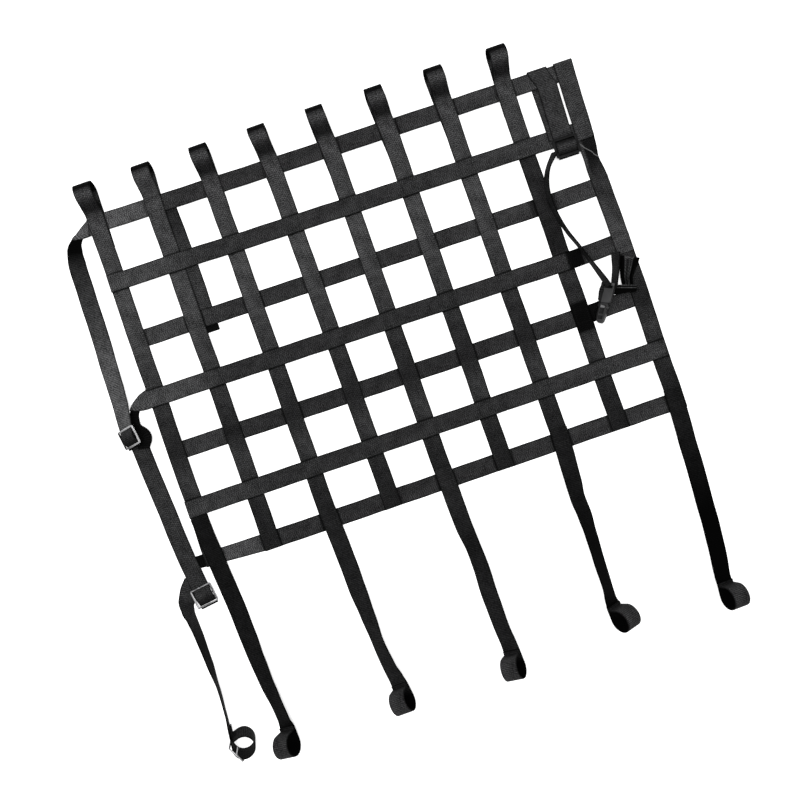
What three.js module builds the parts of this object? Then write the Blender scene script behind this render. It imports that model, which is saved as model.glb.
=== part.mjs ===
// Racing window net of black webbing, laid flat with its outer face up. Sizes are in millimetres.
// X runs along the rows, Y up the columns and Z away from the surface on which the net lies.
// Until the last lines, the origin is where column 1 crosses row 1.
import * as THREE from 'three';

// The webbing, and how its layers stack where straps cross
const WEB_WIDTH = 25.4;
const WEB_THICK = 1.6;
const LAYER_GAP = 0.3;
const LAYER = WEB_THICK + LAYER_GAP;
const HALF_WEB = WEB_WIDTH / 2;
const HALF_THICK = WEB_THICK / 2;
const CROSSING = HALF_WEB + 3;

// Rows from the top: the centre line's height at the left and right edges, and the layer it lies on
const ROWS = [
  { left: 1, right: -3, layer: 1 },
  { left: -88, right: -92, layer: 1 },
  { left: -179, right: -179, layer: 0 },
  { left: -267, right: -268, layer: 1 },
  { left: -353, right: -351, layer: 0 },
  { left: -439, right: -433, layer: 1 },
  { left: -520.5, right: -513, layer: 0 },
];

// Columns from the left: the centre line's place on the top row and on the bottom row, and how far its
// hanging loop leans to the right
const COLUMNS = [
  { top: 0, bottom: 6, lean: 2 },
  { top: 88, bottom: 95, lean: 2.5 },
  { top: 178, bottom: 187, lean: 0 },
  { top: 270, bottom: 281, lean: -3 },
  { top: 359, bottom: 367, lean: -4.3 },
  { top: 449, bottom: 456, lean: -4.2 },
  { top: 539, bottom: 546, lean: -3.2 },
  { top: 629, bottom: 634, lean: 2.5 },
  { top: 722, bottom: 724, lean: 0 },
];
const NET_WIDTH = 722;
const NET_DROP = -514;
const ROW_END = NET_WIDTH + HALF_WEB;
const ROW_OVERHANG = 0.5;
const EASE_STEPS = 5;

// Rows 2 and 3 and column 2 ride one layer higher where the back strap lies under them
const LIFTED_COLUMN = 1;
const LIFTED_ROWS = [1, 2];
const LIFT_FROM = 72;
const LIFT_TO = 126;
const LIFT_RAMP = 36;

// Hanging loops at the tops of columns 1 to 8, in side view
const LOOP = { radius: 14.5, reach: 44, bend: 17, fillet: 6, tailEnd: -38 };
const SHORT_TAIL_END = 3;
const TAIL_CLEAR = 41;
const ARC_STEPS = 12;
const FILLET_STEPS = 3;

// Colours and finishes
const BLACK_WEBBING = { color: 0x2f2f31, roughness: 0.85, metalness: 0 };
const DARK_WEBBING = { color: 0x1d1d1f, roughness: 0.9, metalness: 0 };
const BRIGHT_METAL = { color: 0xc9cacc, roughness: 0.25, metalness: 1 };
const BLACK_PLASTIC = { color: 0x151516, roughness: 0.4, metalness: 0 };

const net = new THREE.Group();

function addPiece(name, geometry, finish) {
  const mesh = new THREE.Mesh(geometry, new THREE.MeshStandardMaterial(finish));
  mesh.name = name;
  net.add(mesh);
}

const lerp = THREE.MathUtils.lerp;
const smooth = (share) => share * share * (3 - 2 * share);
const middleOf = (layer) => layer * LAYER + HALF_THICK;
const rowHeight = (row, x) => lerp(ROWS[row].left, ROWS[row].right, x / NET_WIDTH);
const columnPlace = (column, y) => lerp(COLUMNS[column].top, COLUMNS[column].bottom, y / NET_DROP);

// One strip of webbing as a closed solid with four long faces. Each station gives the middle of the
// strip, the unit vector across it and, where it isn't the plain webbing, its width there.
function stripGeometry(stations, width = WEB_WIDTH, thickness = WEB_THICK) {
  const corners = [[-1, -1], [1, -1], [1, 1], [-1, 1]];
  const last = stations.length - 1;
  const positions = [];
  const index = [];
  stations.forEach((station, k) => {
    const before = stations[Math.max(k - 1, 0)].middle;
    const after = stations[Math.min(k + 1, last)].middle;
    const along = after.clone().sub(before).normalize();
    const up = along.cross(station.across).normalize();
    const half = (station.width ?? width) / 2;
    for (const [side, face] of corners) {
      const point = station.middle.clone();
      point.addScaledVector(station.across, side * half);
      point.addScaledVector(up, face * thickness / 2);
      positions.push(point.x, point.y, point.z);
    }
  });
  const quad = (a, b, c, d) => index.push(a, b, c, a, c, d);
  for (let k = 0; k < last; k++) {
    for (let side = 0; side < 4; side++) {
      const next = (side + 1) % 4;
      quad(4 * k + side, 4 * k + next, 4 * k + 4 + next, 4 * k + 4 + side);
    }
  }
  quad(0, 3, 2, 1);
  quad(4 * last, 4 * last + 1, 4 * last + 2, 4 * last + 3);
  const geometry = new THREE.BufferGeometry();
  geometry.setAttribute('position', new THREE.Float32BufferAttribute(positions, 3));
  geometry.setIndex(index);
  geometry.computeVertexNormals();
  return geometry;
}

// Distance along a strip and height of its middle, flat on each run and eased from run to run
function easedProfile(runs) {
  const profile = [];
  runs.forEach((run, k) => {
    const height = middleOf(run.layer);
    profile.push([run.from, height]);
    if (run.to > run.from) profile.push([run.to, height]);
    const next = runs[k + 1];
    if (!next || next.layer === run.layer) return;
    for (let step = 1; step < EASE_STEPS; step++) {
      const share = step / EASE_STEPS;
      const eased = lerp(height, middleOf(next.layer), smooth(share));
      profile.push([lerp(run.to, next.from, share), eased]);
    }
  });
  return profile;
}

// Side view of a sewn eye, from the leg that lies below, round the eye, to the leg sewn down above it:
// distance out from the seam, and height of the strip's middle
function eyeProfile({ radius, reach, bend, fillet, steps = ARC_STEPS }, low, high) {
  const centre = low + radius;
  const out = reach - bend;
  const rise = centre - high;
  const slope = Math.atan2(rise, out) + Math.asin(radius / Math.hypot(out, rise));
  const profile = [];
  for (let step = 0; step <= steps; step++) {
    const angle = lerp(-Math.PI / 2, Math.PI / 2 + slope, step / steps);
    profile.push([reach + radius * Math.cos(angle), centre + radius * Math.sin(angle)]);
  }
  const start = new THREE.Vector2(bend + fillet * Math.cos(slope), high + fillet * Math.sin(slope));
  const corner = new THREE.Vector2(bend, high);
  const end = new THREE.Vector2(bend - fillet, high);
  const turn = new THREE.QuadraticBezierCurve(start, corner, end);
  for (const point of turn.getPoints(FILLET_STEPS)) profile.push([point.x, point.y]);
  return profile;
}

// Stations of a strap that wanders over the surface. Each row of its table gives the centre line, the
// tip of its width away from level in degrees, how far it is raised above lying on the surface and, where
// it is curled or of other webbing, its width.
const ROUTE_STEPS = 5;
function routeStations(table) {
  const plan = new THREE.CatmullRomCurve3(
    table.map(({ x, y }) => new THREE.Vector3(x, y, 0)), false, 'catmullrom', 0.5,
  );
  const spans = table.length - 1;
  const stations = [];
  for (let k = 0; k <= spans * ROUTE_STEPS; k++) {
    const span = Math.min(Math.floor(k / ROUTE_STEPS), spans - 1);
    const share = smooth(k / ROUTE_STEPS - span);
    const place = k / (spans * ROUTE_STEPS);
    const tip = THREE.MathUtils.degToRad(lerp(table[span].tip, table[span + 1].tip, share));
    const raise = lerp(table[span].raise, table[span + 1].raise, share);
    const along = plan.getTangent(place);
    const across = new THREE.Vector3(-along.y, along.x, 0).multiplyScalar(Math.cos(tip));
    across.z = Math.sin(tip);
    const width = lerp(table[span].wide ?? WEB_WIDTH, table[span + 1].wide ?? WEB_WIDTH, share);
    const middle = plan.getPoint(place);
    middle.z = width / 2 * Math.abs(Math.sin(tip)) + HALF_THICK * Math.abs(Math.cos(tip)) + raise;
    stations.push({ middle, across, along, width });
  }
  return stations;
}

// Points given by distance and height in the upright plane of a strap's end, as stations
function endStations(last, profile) {
  const up = last.along.clone().cross(last.across).normalize();
  return profile.map(([distance, height]) => {
    const middle = last.middle.clone();
    middle.addScaledVector(last.along, distance);
    middle.addScaledVector(up, height);
    return { middle, across: last.across, width: last.width };
  });
}

// Rows. Row 1 and row 4 end at the left in a slanting fold that bows out a little, where a side strap turns
// down. Row 7 rises and narrows a little towards its left end, and rows 3 to 5 rise at their right ends.
const FOLD_WIDTH = 37.5;
const FOLD_ACROSS = new THREE.Vector3(31, 21, 0).normalize();
const FOLD_OUT = new THREE.Vector3(-21, 31, 0).normalize();
const FOLD_BOW_WIDTH = 18;
const FOLDS = { 0: { x: -27.5, y: 1, bow: 0.8 }, 3: { x: -26, y: -263, bow: 3.6 } };
const FOLD_NECK = -9;
const BOTTOM_ROW_LEVEL = 96;
const BOTTOM_ROW_END = [
  { x: 20, rise: 3, wide: 21 },
  { x: -27, rise: 4.4, wide: 17 },
];
const RIGHT_TURN = 652;
const RIGHT_RISES = { 2: 2, 3: 3.2, 4: 2.5 };
ROWS.forEach((row, r) => {
  const slant = Math.atan2(row.right - row.left, NET_WIDTH);
  const across = new THREE.Vector3(-Math.sin(slant), Math.cos(slant), 0);
  const fold = FOLDS[r];
  const flush = columnPlace(0, row.left) - HALF_WEB - ROW_OVERHANG;
  const bottom = r === ROWS.length - 1;
  const start = fold ? FOLD_NECK : bottom ? BOTTOM_ROW_LEVEL : flush;
  let runs = [{ from: start, to: ROW_END, layer: row.layer }];
  if (LIFTED_ROWS.includes(r)) {
    runs = [
      { from: start, to: LIFT_FROM - LIFT_RAMP, layer: row.layer },
      { from: LIFT_FROM, to: LIFT_TO, layer: row.layer + 1 },
      { from: LIFT_TO + LIFT_RAMP, to: ROW_END, layer: row.layer },
    ];
  }
  const stations = easedProfile(runs).map(([x, z]) => (
    { middle: new THREE.Vector3(x, rowHeight(r, x), z), across }
  ));
  if (RIGHT_RISES[r]) {
    const end = stations[stations.length - 1].middle;
    const turn = new THREE.Vector3(RIGHT_TURN, rowHeight(r, RIGHT_TURN), end.z);
    end.y += RIGHT_RISES[r];
    stations.splice(-1, 0, { middle: turn, across });
  }
  if (fold) {
    const middle = new THREE.Vector3(fold.x, fold.y, middleOf(row.layer));
    stations.unshift({ middle, across: FOLD_ACROSS, width: FOLD_WIDTH });
    const bowed = middle.clone().addScaledVector(FOLD_OUT, fold.bow);
    stations.unshift({ middle: bowed, across: FOLD_ACROSS, width: FOLD_BOW_WIDTH });
  }
  if (bottom) {
    for (const { x, rise, wide } of BOTTOM_ROW_END) {
      const middle = new THREE.Vector3(x, rowHeight(r, x) + rise, middleOf(row.layer));
      stations.unshift({ middle, across, width: wide });
    }
  }
  addPiece(`row_${r + 1}`, stripGeometry(stations), BLACK_WEBBING);
});

// The layer on which a column crosses a row: over rows 1, 3, 5 and 7, and under rows 2, 4 and 6
function crossingLayer(column, r) {
  const lifted = column === LIFTED_COLUMN && LIFTED_ROWS.includes(r) ? 1 : 0;
  const side = r % 2 === 0 ? 1 : -1;
  return ROWS[r].layer + side + lifted;
}

function columnStations(column, profile) {
  const { top, bottom, lean } = COLUMNS[column];
  const slant = Math.atan2(bottom - top, -NET_DROP);
  const across = new THREE.Vector3(Math.cos(slant), Math.sin(slant), 0);
  return profile.map(([y, z]) => {
    const aside = lean * THREE.MathUtils.clamp(y / LOOP.reach, 0, 1);
    return { middle: new THREE.Vector3(columnPlace(column, y) + aside, y, z), across };
  });
}

function crossingRun(column, r) {
  const down = -rowHeight(r, COLUMNS[column].top);
  return { from: down - CROSSING, to: down + CROSSING, layer: crossingLayer(column, r) };
}

// Columns 1 to 8: the upper end turns back behind row 1, the front passes over and under the rows and
// the lower end is flush with row 7's lower edge, and column 1, where row 7 is narrower, is a little shorter.
const BACK_STRAP_END = 206;
const FIRST_COLUMN_SHORT = 6;
for (let column = 0; column < COLUMNS.length - 1; column++) {
  const lifted = column === LIFTED_COLUMN;
  const runs = ROWS.map((row, r) => crossingRun(column, r));
  runs[0].from = LOOP.fillet - LOOP.bend;
  if (lifted) runs[2].to = BACK_STRAP_END;
  else runs.splice(1, 0, { from: TAIL_CLEAR, to: TAIL_CLEAR, layer: 1 });
  runs[runs.length - 1].to -= CROSSING - HALF_WEB;
  if (column === 0) runs[runs.length - 1].to -= FIRST_COLUMN_SHORT;
  const front = easedProfile(runs).slice(1).map(([down, z]) => [-down, z]);
  const tail = [[lifted ? SHORT_TAIL_END : LOOP.tailEnd, middleOf(0)]];
  const eye = eyeProfile(LOOP, middleOf(0), middleOf(2));
  const stations = columnStations(column, [...tail, ...eye, ...front]);
  addPiece(`column_${column + 1}`, stripGeometry(stations), BLACK_WEBBING);
}

// Edge column, upper length: a flap in front of rows 1 and 2, folded over the top edge of row 1, then
// behind both rows, over row 3 and sewn down over row 4. The flap spreads a little at the fold and hangs
// askew, and the left edge lifts below it.
const EDGE = COLUMNS.length - 1;
const FLAP_END = -106;
const FLAP_ASKEW = -4.8;
const FLAP_FOLD = { wide: 28.4, aside: -0.6 };
const EDGE_FOLD = 10.5;
const FOLD_STEPS = 6;
const EDGE_BEHIND = [
  { x: 722, y: -14, tip: 0, raise: 0 },
  { x: 721.5, y: -70, tip: 0, raise: 0 },
  { x: 720, y: -110, tip: 0, raise: 0 },
  { x: 717.3, y: -136, tip: -18, raise: 0 },
  { x: 719.5, y: -163, tip: 0, raise: LAYER },
  { x: 720.5, y: -196, tip: 0, raise: LAYER },
  { x: 721.5, y: -252, tip: 0, raise: 2 * LAYER },
  { x: 722, y: -283, tip: 0, raise: 2 * LAYER },
];
{
  const flap = [[FLAP_END, middleOf(2)]];
  for (let step = 0; step <= FOLD_STEPS; step++) {
    const angle = lerp(Math.PI / 2, -Math.PI / 2, step / FOLD_STEPS);
    flap.push([EDGE_FOLD + LAYER * Math.cos(angle), middleOf(1) + LAYER * Math.sin(angle)]);
  }
  const [end, ...fold] = columnStations(EDGE, flap);
  end.middle.x += FLAP_ASKEW;
  for (const station of fold) {
    station.middle.x += FLAP_FOLD.aside;
    station.width = FLAP_FOLD.wide;
  }
  const stations = [end, ...fold, ...routeStations(EDGE_BEHIND)];
  addPiece('column_9_upper', stripGeometry(stations), BLACK_WEBBING);
}

// Edge column, lower length: starts behind row 4 and ends at row 7's lower edge
const EDGE_LOWER_START = 254;
{
  const runs = [
    { from: EDGE_LOWER_START, to: -rowHeight(3, NET_WIDTH) + CROSSING, layer: 0 },
    crossingRun(EDGE, 4),
    crossingRun(EDGE, 5),
    crossingRun(EDGE, 6),
  ];
  runs[3].to -= CROSSING - HALF_WEB;
  const profile = easedProfile(runs).map(([down, z]) => [-down, z]);
  addPiece('column_9_lower', stripGeometry(columnStations(EDGE, profile)), BLACK_WEBBING);
}

// Back strap: lies on the surface under rows 1 to 3, with its end turned up and sewn as a hem
const BACK_STRAP = [
  { x: 104, y: SHORT_TAIL_END - LAYER_GAP, tip: 0, raise: 0 },
  { x: 107, y: -68, tip: 0, raise: 0 },
  { x: 108.5, y: -130, tip: 0, raise: 0 },
  { x: 108.5, y: -200, tip: 0, raise: 0 },
];
const HEM_LENGTH = 7;
const HEM_STEPS = 4;
{
  const stations = routeStations(BACK_STRAP);
  const last = stations[stations.length - 1];
  const radius = LAYER / 2;
  const hem = [];
  for (let step = 1; step <= HEM_STEPS; step++) {
    const angle = lerp(-Math.PI / 2, Math.PI / 2, step / HEM_STEPS);
    hem.push([radius * Math.cos(angle), radius + radius * Math.sin(angle)]);
  }
  hem.push([-HEM_LENGTH, LAYER]);
  addPiece('back_strap', stripGeometry([...stations, ...endStations(last, hem)]), DARK_WEBBING);
}

// Drop straps: sewn over row 7, each runs down to an eye folded at its end. The first one starts at row 6
// and lies on column 1. The tables give the route from the top of the strap to the neck of the eye.
const OVER_ROW_7 = 2 * LAYER;
const DROP_EYE = { radius: 16, reach: 17, bend: 1.5, fillet: 1.5 };
const DROP_NECK = 2;
const LANDING_END = -2;
const DROP_STRAPS = [
  [
    { x: 5, y: -453.5, tip: 0, raise: LAYER },
    { x: 9, y: -501, tip: 0, raise: OVER_ROW_7 },
    { x: 12, y: -538, tip: 0, raise: OVER_ROW_7 },
    { x: 15.5, y: -590, tip: 0, raise: 0 },
    { x: 18.5, y: -640, tip: 4, raise: 0 },
    { x: 21, y: -679, tip: 16, raise: 0 },
    { x: 24.5, y: -718, tip: 26, raise: 0 },
    { x: 29, y: -752, tip: 36, raise: 0 },
    { x: 31, y: -772, tip: 36, raise: 0 },
    { x: 32, y: -787, tip: 24, raise: 0 },
  ],
  [
    { x: 187, y: -500, tip: 0, raise: OVER_ROW_7 },
    { x: 189.5, y: -536, tip: 0, raise: OVER_ROW_7 },
    { x: 191.5, y: -586, tip: 0, raise: 0 },
    { x: 193, y: -626, tip: 8, raise: 0 },
    { x: 195.5, y: -666, tip: 28, raise: 0 },
    { x: 198, y: -706, tip: 42, raise: 0 },
    { x: 203, y: -746, tip: 36, raise: 0 },
    { x: 206.3, y: -765, tip: 28, raise: 0 },
    { x: 207.7, y: -779.3, tip: 20, raise: 0 },
  ],
  [
    { x: 367, y: -498, tip: 0, raise: OVER_ROW_7 },
    { x: 368.5, y: -534, tip: 0, raise: OVER_ROW_7 },
    { x: 370, y: -582, tip: 14, raise: 0 },
    { x: 373.5, y: -624, tip: 32, raise: 0 },
    { x: 375, y: -654, tip: 28, raise: 0 },
    { x: 374.5, y: -694, tip: 24, raise: 0 },
    { x: 376, y: -746, tip: 32, raise: 0 },
    { x: 378, y: -769, tip: 30, raise: 0 },
    { x: 378.8, y: -784, tip: 26, raise: 0 },
  ],
  [
    { x: 546, y: -496, tip: 0, raise: OVER_ROW_7 },
    { x: 545, y: -532, tip: 0, raise: OVER_ROW_7 },
    { x: 543.5, y: -574, tip: -10, raise: 0 },
    { x: 541.5, y: -600, tip: -24, raise: 0 },
    { x: 543, y: -628, tip: -28, raise: 0 },
    { x: 542.5, y: -656, tip: -38, raise: 0 },
    { x: 541.5, y: -697, tip: -42, raise: 0 },
    { x: 540, y: -736, tip: -46, raise: 0 },
    { x: 538.5, y: -757, tip: -40, raise: 0 },
    { x: 540.5, y: -767.5, tip: -30, raise: 0 },
  ],
  [
    { x: 723, y: -494, tip: 0, raise: OVER_ROW_7 },
    { x: 722.5, y: -530, tip: 0, raise: OVER_ROW_7 },
    { x: 721, y: -578, tip: 0, raise: 0 },
    { x: 720, y: -620, tip: 0, raise: 0 },
    { x: 717.5, y: -660, tip: -2, raise: 0 },
    { x: 714.5, y: -700, tip: -3, raise: 0 },
    { x: 708.5, y: -750, tip: -7, raise: 0 },
    { x: 704.5, y: -775, tip: -24, raise: 0 },
    { x: 704, y: -787, tip: -28, raise: 0 },
  ],
];
DROP_STRAPS.forEach((table, k) => {
  const stations = routeStations(table);
  const last = stations[stations.length - 1];
  const eye = eyeProfile(DROP_EYE, 0, LAYER).map(([distance, height]) => [distance + DROP_NECK, height]);
  const end = endStations(last, [...eye, [LANDING_END, LAYER]]);
  addPiece(`drop_strap_${k + 1}`, stripGeometry([...stations, ...end]), DARK_WEBBING);
});

// A strap slide: an outer frame and a middle bar, with a window on each side for the webbing
const METAL_SLIDE = { clear: 28, pitch: 13.3, bar: 2.4, rail: 2.4, thick: 1.8, corner: 2.5, wave: 2.5 };
const PLASTIC_SLIDE = { clear: 29.8, pitch: 14, bar: 3, rail: 3.7, thick: 2.6, corner: 3, wave: 3.5 };

// A rectangle with rounded corners, added to a shape or a hole's path
const WINDOW_CORNER = 0.8;
function rounded(path, left, right, low, high, corner) {
  path.moveTo(left + corner, low);
  path.lineTo(right - corner, low);
  path.quadraticCurveTo(right, low, right, low + corner);
  path.lineTo(right, high - corner);
  path.quadraticCurveTo(right, high, right - corner, high);
  path.lineTo(left + corner, high);
  path.quadraticCurveTo(left, high, left, high - corner);
  path.lineTo(left, low + corner);
  path.quadraticCurveTo(left, low, left + corner, low);
  return path;
}

function slideGeometry({ clear, pitch, bar, rail, thick, corner }, place) {
  const halfWidth = clear / 2 + rail;
  const halfLength = pitch + bar / 2;
  const outline = rounded(new THREE.Shape(), -halfWidth, halfWidth, -halfLength, halfLength, corner);
  for (const side of [-1, 1]) {
    const near = side * bar / 2;
    const far = side * (pitch - bar / 2);
    const low = Math.min(near, far);
    const high = Math.max(near, far);
    const window = rounded(new THREE.Path(), -clear / 2, clear / 2, low, high, WINDOW_CORNER);
    outline.holes.push(window);
  }
  const solid = { depth: thick, bevelEnabled: false, curveSegments: CORNER_SEGMENTS };
  const geometry = new THREE.ExtrudeGeometry(outline, solid);
  geometry.translate(0, 0, -thick / 2);
  const up = place.along.clone().cross(place.across).normalize();
  const basis = new THREE.Matrix4().makeBasis(place.across, place.along.clone().negate(), up);
  basis.setPosition(place.middle);
  return geometry.applyMatrix4(basis);
}

// The webbing's way through a slide: under the first bar, over the middle one and under the last
const WAVE_STEPS = 16;
const SLIDE_LEAD = 4;
const SLIDE_CLEAR = 1;
const CORNER_SEGMENTS = 4;
function slideWave({ pitch, wave }, lead) {
  const profile = [];
  for (let step = 0; step <= WAVE_STEPS; step++) {
    const distance = lerp(-pitch, pitch, step / WAVE_STEPS);
    profile.push([distance, wave * Math.cos(Math.PI * distance / pitch)]);
  }
  profile.push([pitch + lead, -wave]);
  return profile;
}

// A strap that follows its table, whose last row is the middle of the slide, and then passes through it.
// The table's heights are those of the webbing under the first bar.
function threadedStrap(table, slide, lead) {
  const stations = routeStations(table);
  const last = stations[stations.length - 1];
  const up = last.along.clone().cross(last.across).normalize();
  const place = { ...last, middle: last.middle.clone().addScaledVector(up, slide.wave) };
  const before = stations.filter(({ middle }) => middle.distanceTo(last.middle) > slide.pitch + SLIDE_CLEAR);
  return { place, stations: [...before, ...endStations(place, slideWave(slide, lead))] };
}

// Upper side strap: from under row 1's folded end down to slide 1, tipping on to its left edge
const SIDE_UPPER = [
  { x: -27, y: -6, tip: 0, raise: 0, wide: 9 },
  { x: -37, y: -12, tip: 0, raise: 0, wide: 15 },
  { x: -45, y: -26, tip: 0, raise: 0, wide: 22 },
  { x: -48, y: -48, tip: 0, raise: 0 },
  { x: -48.5, y: -80, tip: 0, raise: 0 },
  { x: -49, y: -150, tip: 0, raise: 0 },
  { x: -50.5, y: -195, tip: 2, raise: 0 },
  { x: -51, y: -232, tip: 8, raise: 0 },
  { x: -51, y: -256, tip: 14, raise: 1 },
  { x: -52, y: -280, tip: 22, raise: 3 },
  { x: -52.5, y: -297, tip: 28, raise: 4 },
  { x: -50.5, y: -311, tip: 28, raise: 4 },
];
{
  const { place, stations } = threadedStrap(SIDE_UPPER, METAL_SLIDE, SLIDE_LEAD);
  addPiece('side_strap_upper', stripGeometry(stations), DARK_WEBBING);
  addPiece('slide_1', slideGeometry(METAL_SLIDE, place), BRIGHT_METAL);
}

// Middle side strap: from under row 4's folded end, down and round over the start of the lower strap
const SIDE_MID = [
  { x: -25, y: -269, tip: 0, raise: 0, wide: 9 },
  { x: -36.5, y: -279, tip: 0, raise: 0, wide: 13 },
  { x: -40.5, y: -298, tip: 6, raise: LAYER, wide: 16 },
  { x: -35, y: -317, tip: 8, raise: LAYER, wide: 27 },
  { x: -39, y: -333, tip: 4, raise: LAYER, wide: 17 },
];
addPiece('side_strap_mid', stripGeometry(routeStations(SIDE_MID)), DARK_WEBBING);

// Lower side strap: from under the middle strap, over row 7's end, and through slide 2
const SIDE_LOWER = [
  { x: -45, y: -314, tip: 0, raise: 0 },
  { x: -43.5, y: -345, tip: 0, raise: 0 },
  { x: -38.5, y: -410, tip: 0, raise: 0 },
  { x: -32.5, y: -490, tip: 0, raise: LAYER },
  { x: -27, y: -538, tip: 0, raise: LAYER },
  { x: -23, y: -565, tip: 0, raise: LAYER },
];
{
  const { place, stations } = threadedStrap(SIDE_LOWER, METAL_SLIDE, SLIDE_LEAD);
  addPiece('side_strap_lower', stripGeometry(stations), BLACK_WEBBING);
  addPiece('slide_2', slideGeometry(METAL_SLIDE, place), BRIGHT_METAL);
}

// Free tail: from under the lower side strap, twisting on to its edge, to an eye that stands on edge
const TAIL_RAISE = 2.9;
const TAIL = [
  { x: -33, y: -540, tip: 0, raise: 0 },
  { x: -45.5, y: -556, tip: 0, raise: 0 },
  { x: -50, y: -576, tip: -62, raise: 0 },
  { x: -48.4, y: -592, tip: -75, raise: 0 },
  { x: -46.3, y: -614, tip: -79, raise: 0 },
  { x: -44.3, y: -658, tip: -86, raise: 0 },
  { x: -43.5, y: -697, tip: -95, raise: 0 },
  { x: -44, y: -730, tip: -96, raise: TAIL_RAISE },
  { x: -45.5, y: -747, tip: -90, raise: TAIL_RAISE },
];
const TAIL_EYE = { radius: 16.5, reach: 20, bend: 3.5, fillet: 3, steps: 24 };
const TAIL_NECK = 14;
const TAIL_SLIDE_ANGLE = THREE.MathUtils.degToRad(-56);
const TAIL_SLIDE_OUT = 14.25;
{
  const stations = routeStations(TAIL);
  const last = stations[stations.length - 1];
  const eye = eyeProfile(TAIL_EYE, 0, LAYER).map(([distance, height]) => [distance + TAIL_NECK, height]);
  const end = endStations(last, [...eye, [0, LAYER]]);
  addPiece('side_tail', stripGeometry([...stations, ...end]), DARK_WEBBING);
  const up = last.along.clone().cross(last.across).normalize();
  const middle = last.middle.clone();
  const slideDown = TAIL_NECK + TAIL_EYE.reach + TAIL_SLIDE_OUT * Math.cos(TAIL_SLIDE_ANGLE);
  middle.addScaledVector(last.along, slideDown);
  middle.addScaledVector(up, TAIL_EYE.radius + TAIL_SLIDE_OUT * Math.sin(TAIL_SLIDE_ANGLE));
  middle.z = METAL_SLIDE.clear / 2 + METAL_SLIDE.rail;
  const along = last.along.clone().multiplyScalar(-Math.sin(TAIL_SLIDE_ANGLE));
  along.addScaledVector(up, Math.cos(TAIL_SLIDE_ANGLE));
  addPiece('tail_slide', slideGeometry(METAL_SLIDE, { middle, across: last.across, along }), BRIGHT_METAL);
}

// Corner strap: up behind row 1 from the back of the slide, over the row's top edge at a slight slant,
// and down in front of rows 1 and 2 through the slide
const CORNER_WIDTH = 29;
const CORNER_BACK = 681.2;
const CORNER_TOP = 682.2;
const CORNER_SHOULDER = 689.5;
const CORNER_FRONT = 687.2;
const CORNER_FOLD = 10.8;
const CORNER_SLIDE_DOWN = 110.5;
const CORNER_LEAD = 3;
const CORNER_BACK_END = 94;
const SLANT_STEPS = 4;
{
  const rowOneEdge = -rowHeight(0, CORNER_TOP) + CROSSING;
  const rowTwoEdge = -rowHeight(1, CORNER_TOP) - CROSSING;
  const path = [];
  const back = easedProfile([
    { from: rowOneEdge, to: rowOneEdge, layer: 0 },
    { from: rowTwoEdge, to: CORNER_BACK_END, layer: 2 },
  ]).reverse();
  for (const [down, z] of back) path.push([CORNER_BACK, -down, z]);
  for (let step = 0; step <= FOLD_STEPS; step++) {
    const angle = lerp(-Math.PI / 2, Math.PI / 2, step / FOLD_STEPS);
    path.push([CORNER_TOP, CORNER_FOLD + LAYER * Math.cos(angle), middleOf(1) + LAYER * Math.sin(angle)]);
  }
  for (let step = 1; step < SLANT_STEPS; step++) {
    const share = step / SLANT_STEPS;
    const x = lerp(CORNER_TOP, CORNER_SHOULDER, smooth(share));
    path.push([x, lerp(CORNER_FOLD, -rowOneEdge, share), middleOf(2)]);
  }
  const front = easedProfile([
    { from: rowOneEdge, to: rowOneEdge, layer: 2 },
    { from: rowTwoEdge, to: rowTwoEdge, layer: 3 },
  ]);
  for (const [down, z] of front) {
    const share = (down - rowOneEdge) / (rowTwoEdge - rowOneEdge);
    path.push([lerp(CORNER_SHOULDER, CORNER_FRONT, share), -down, z]);
  }
  const place = {
    middle: new THREE.Vector3(CORNER_FRONT, -CORNER_SLIDE_DOWN, middleOf(3) + PLASTIC_SLIDE.wave),
    across: new THREE.Vector3(1, 0, 0),
    along: new THREE.Vector3(0, -1, 0),
  };
  const stations = path.map(([x, y, z]) => ({ middle: new THREE.Vector3(x, y, z), across: place.across }));
  const threaded = endStations(place, slideWave(PLASTIC_SLIDE, CORNER_LEAD));
  addPiece('corner_strap', stripGeometry([...stations, ...threaded], CORNER_WIDTH), BLACK_WEBBING);
  addPiece('corner_slide', slideGeometry(PLASTIC_SLIDE, place), BLACK_PLASTIC);
}

// Tether: narrow webbing that stands on its edge from beside the corner slide to the buckle, where it rises
// on to the latch
const NARROW = { raise: 3.8, wide: 19 };
const TETHER_END_RAISE = 12.4;
const TETHER = [
  { x: 666, y: -115, tip: 66, ...NARROW },
  { x: 648.5, y: -135, tip: 74, ...NARROW },
  { x: 639.5, y: -163, tip: 78, ...NARROW },
  { x: 640, y: -194, tip: 84, ...NARROW },
  { x: 647.5, y: -227, tip: 92, ...NARROW },
  { x: 660.5, y: -262, tip: 94, ...NARROW },
  { x: 676.3, y: -316.5, tip: 82, ...NARROW, raise: TETHER_END_RAISE },
];
addPiece('tether', stripGeometry(routeStations(TETHER)), BLACK_WEBBING);

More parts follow.
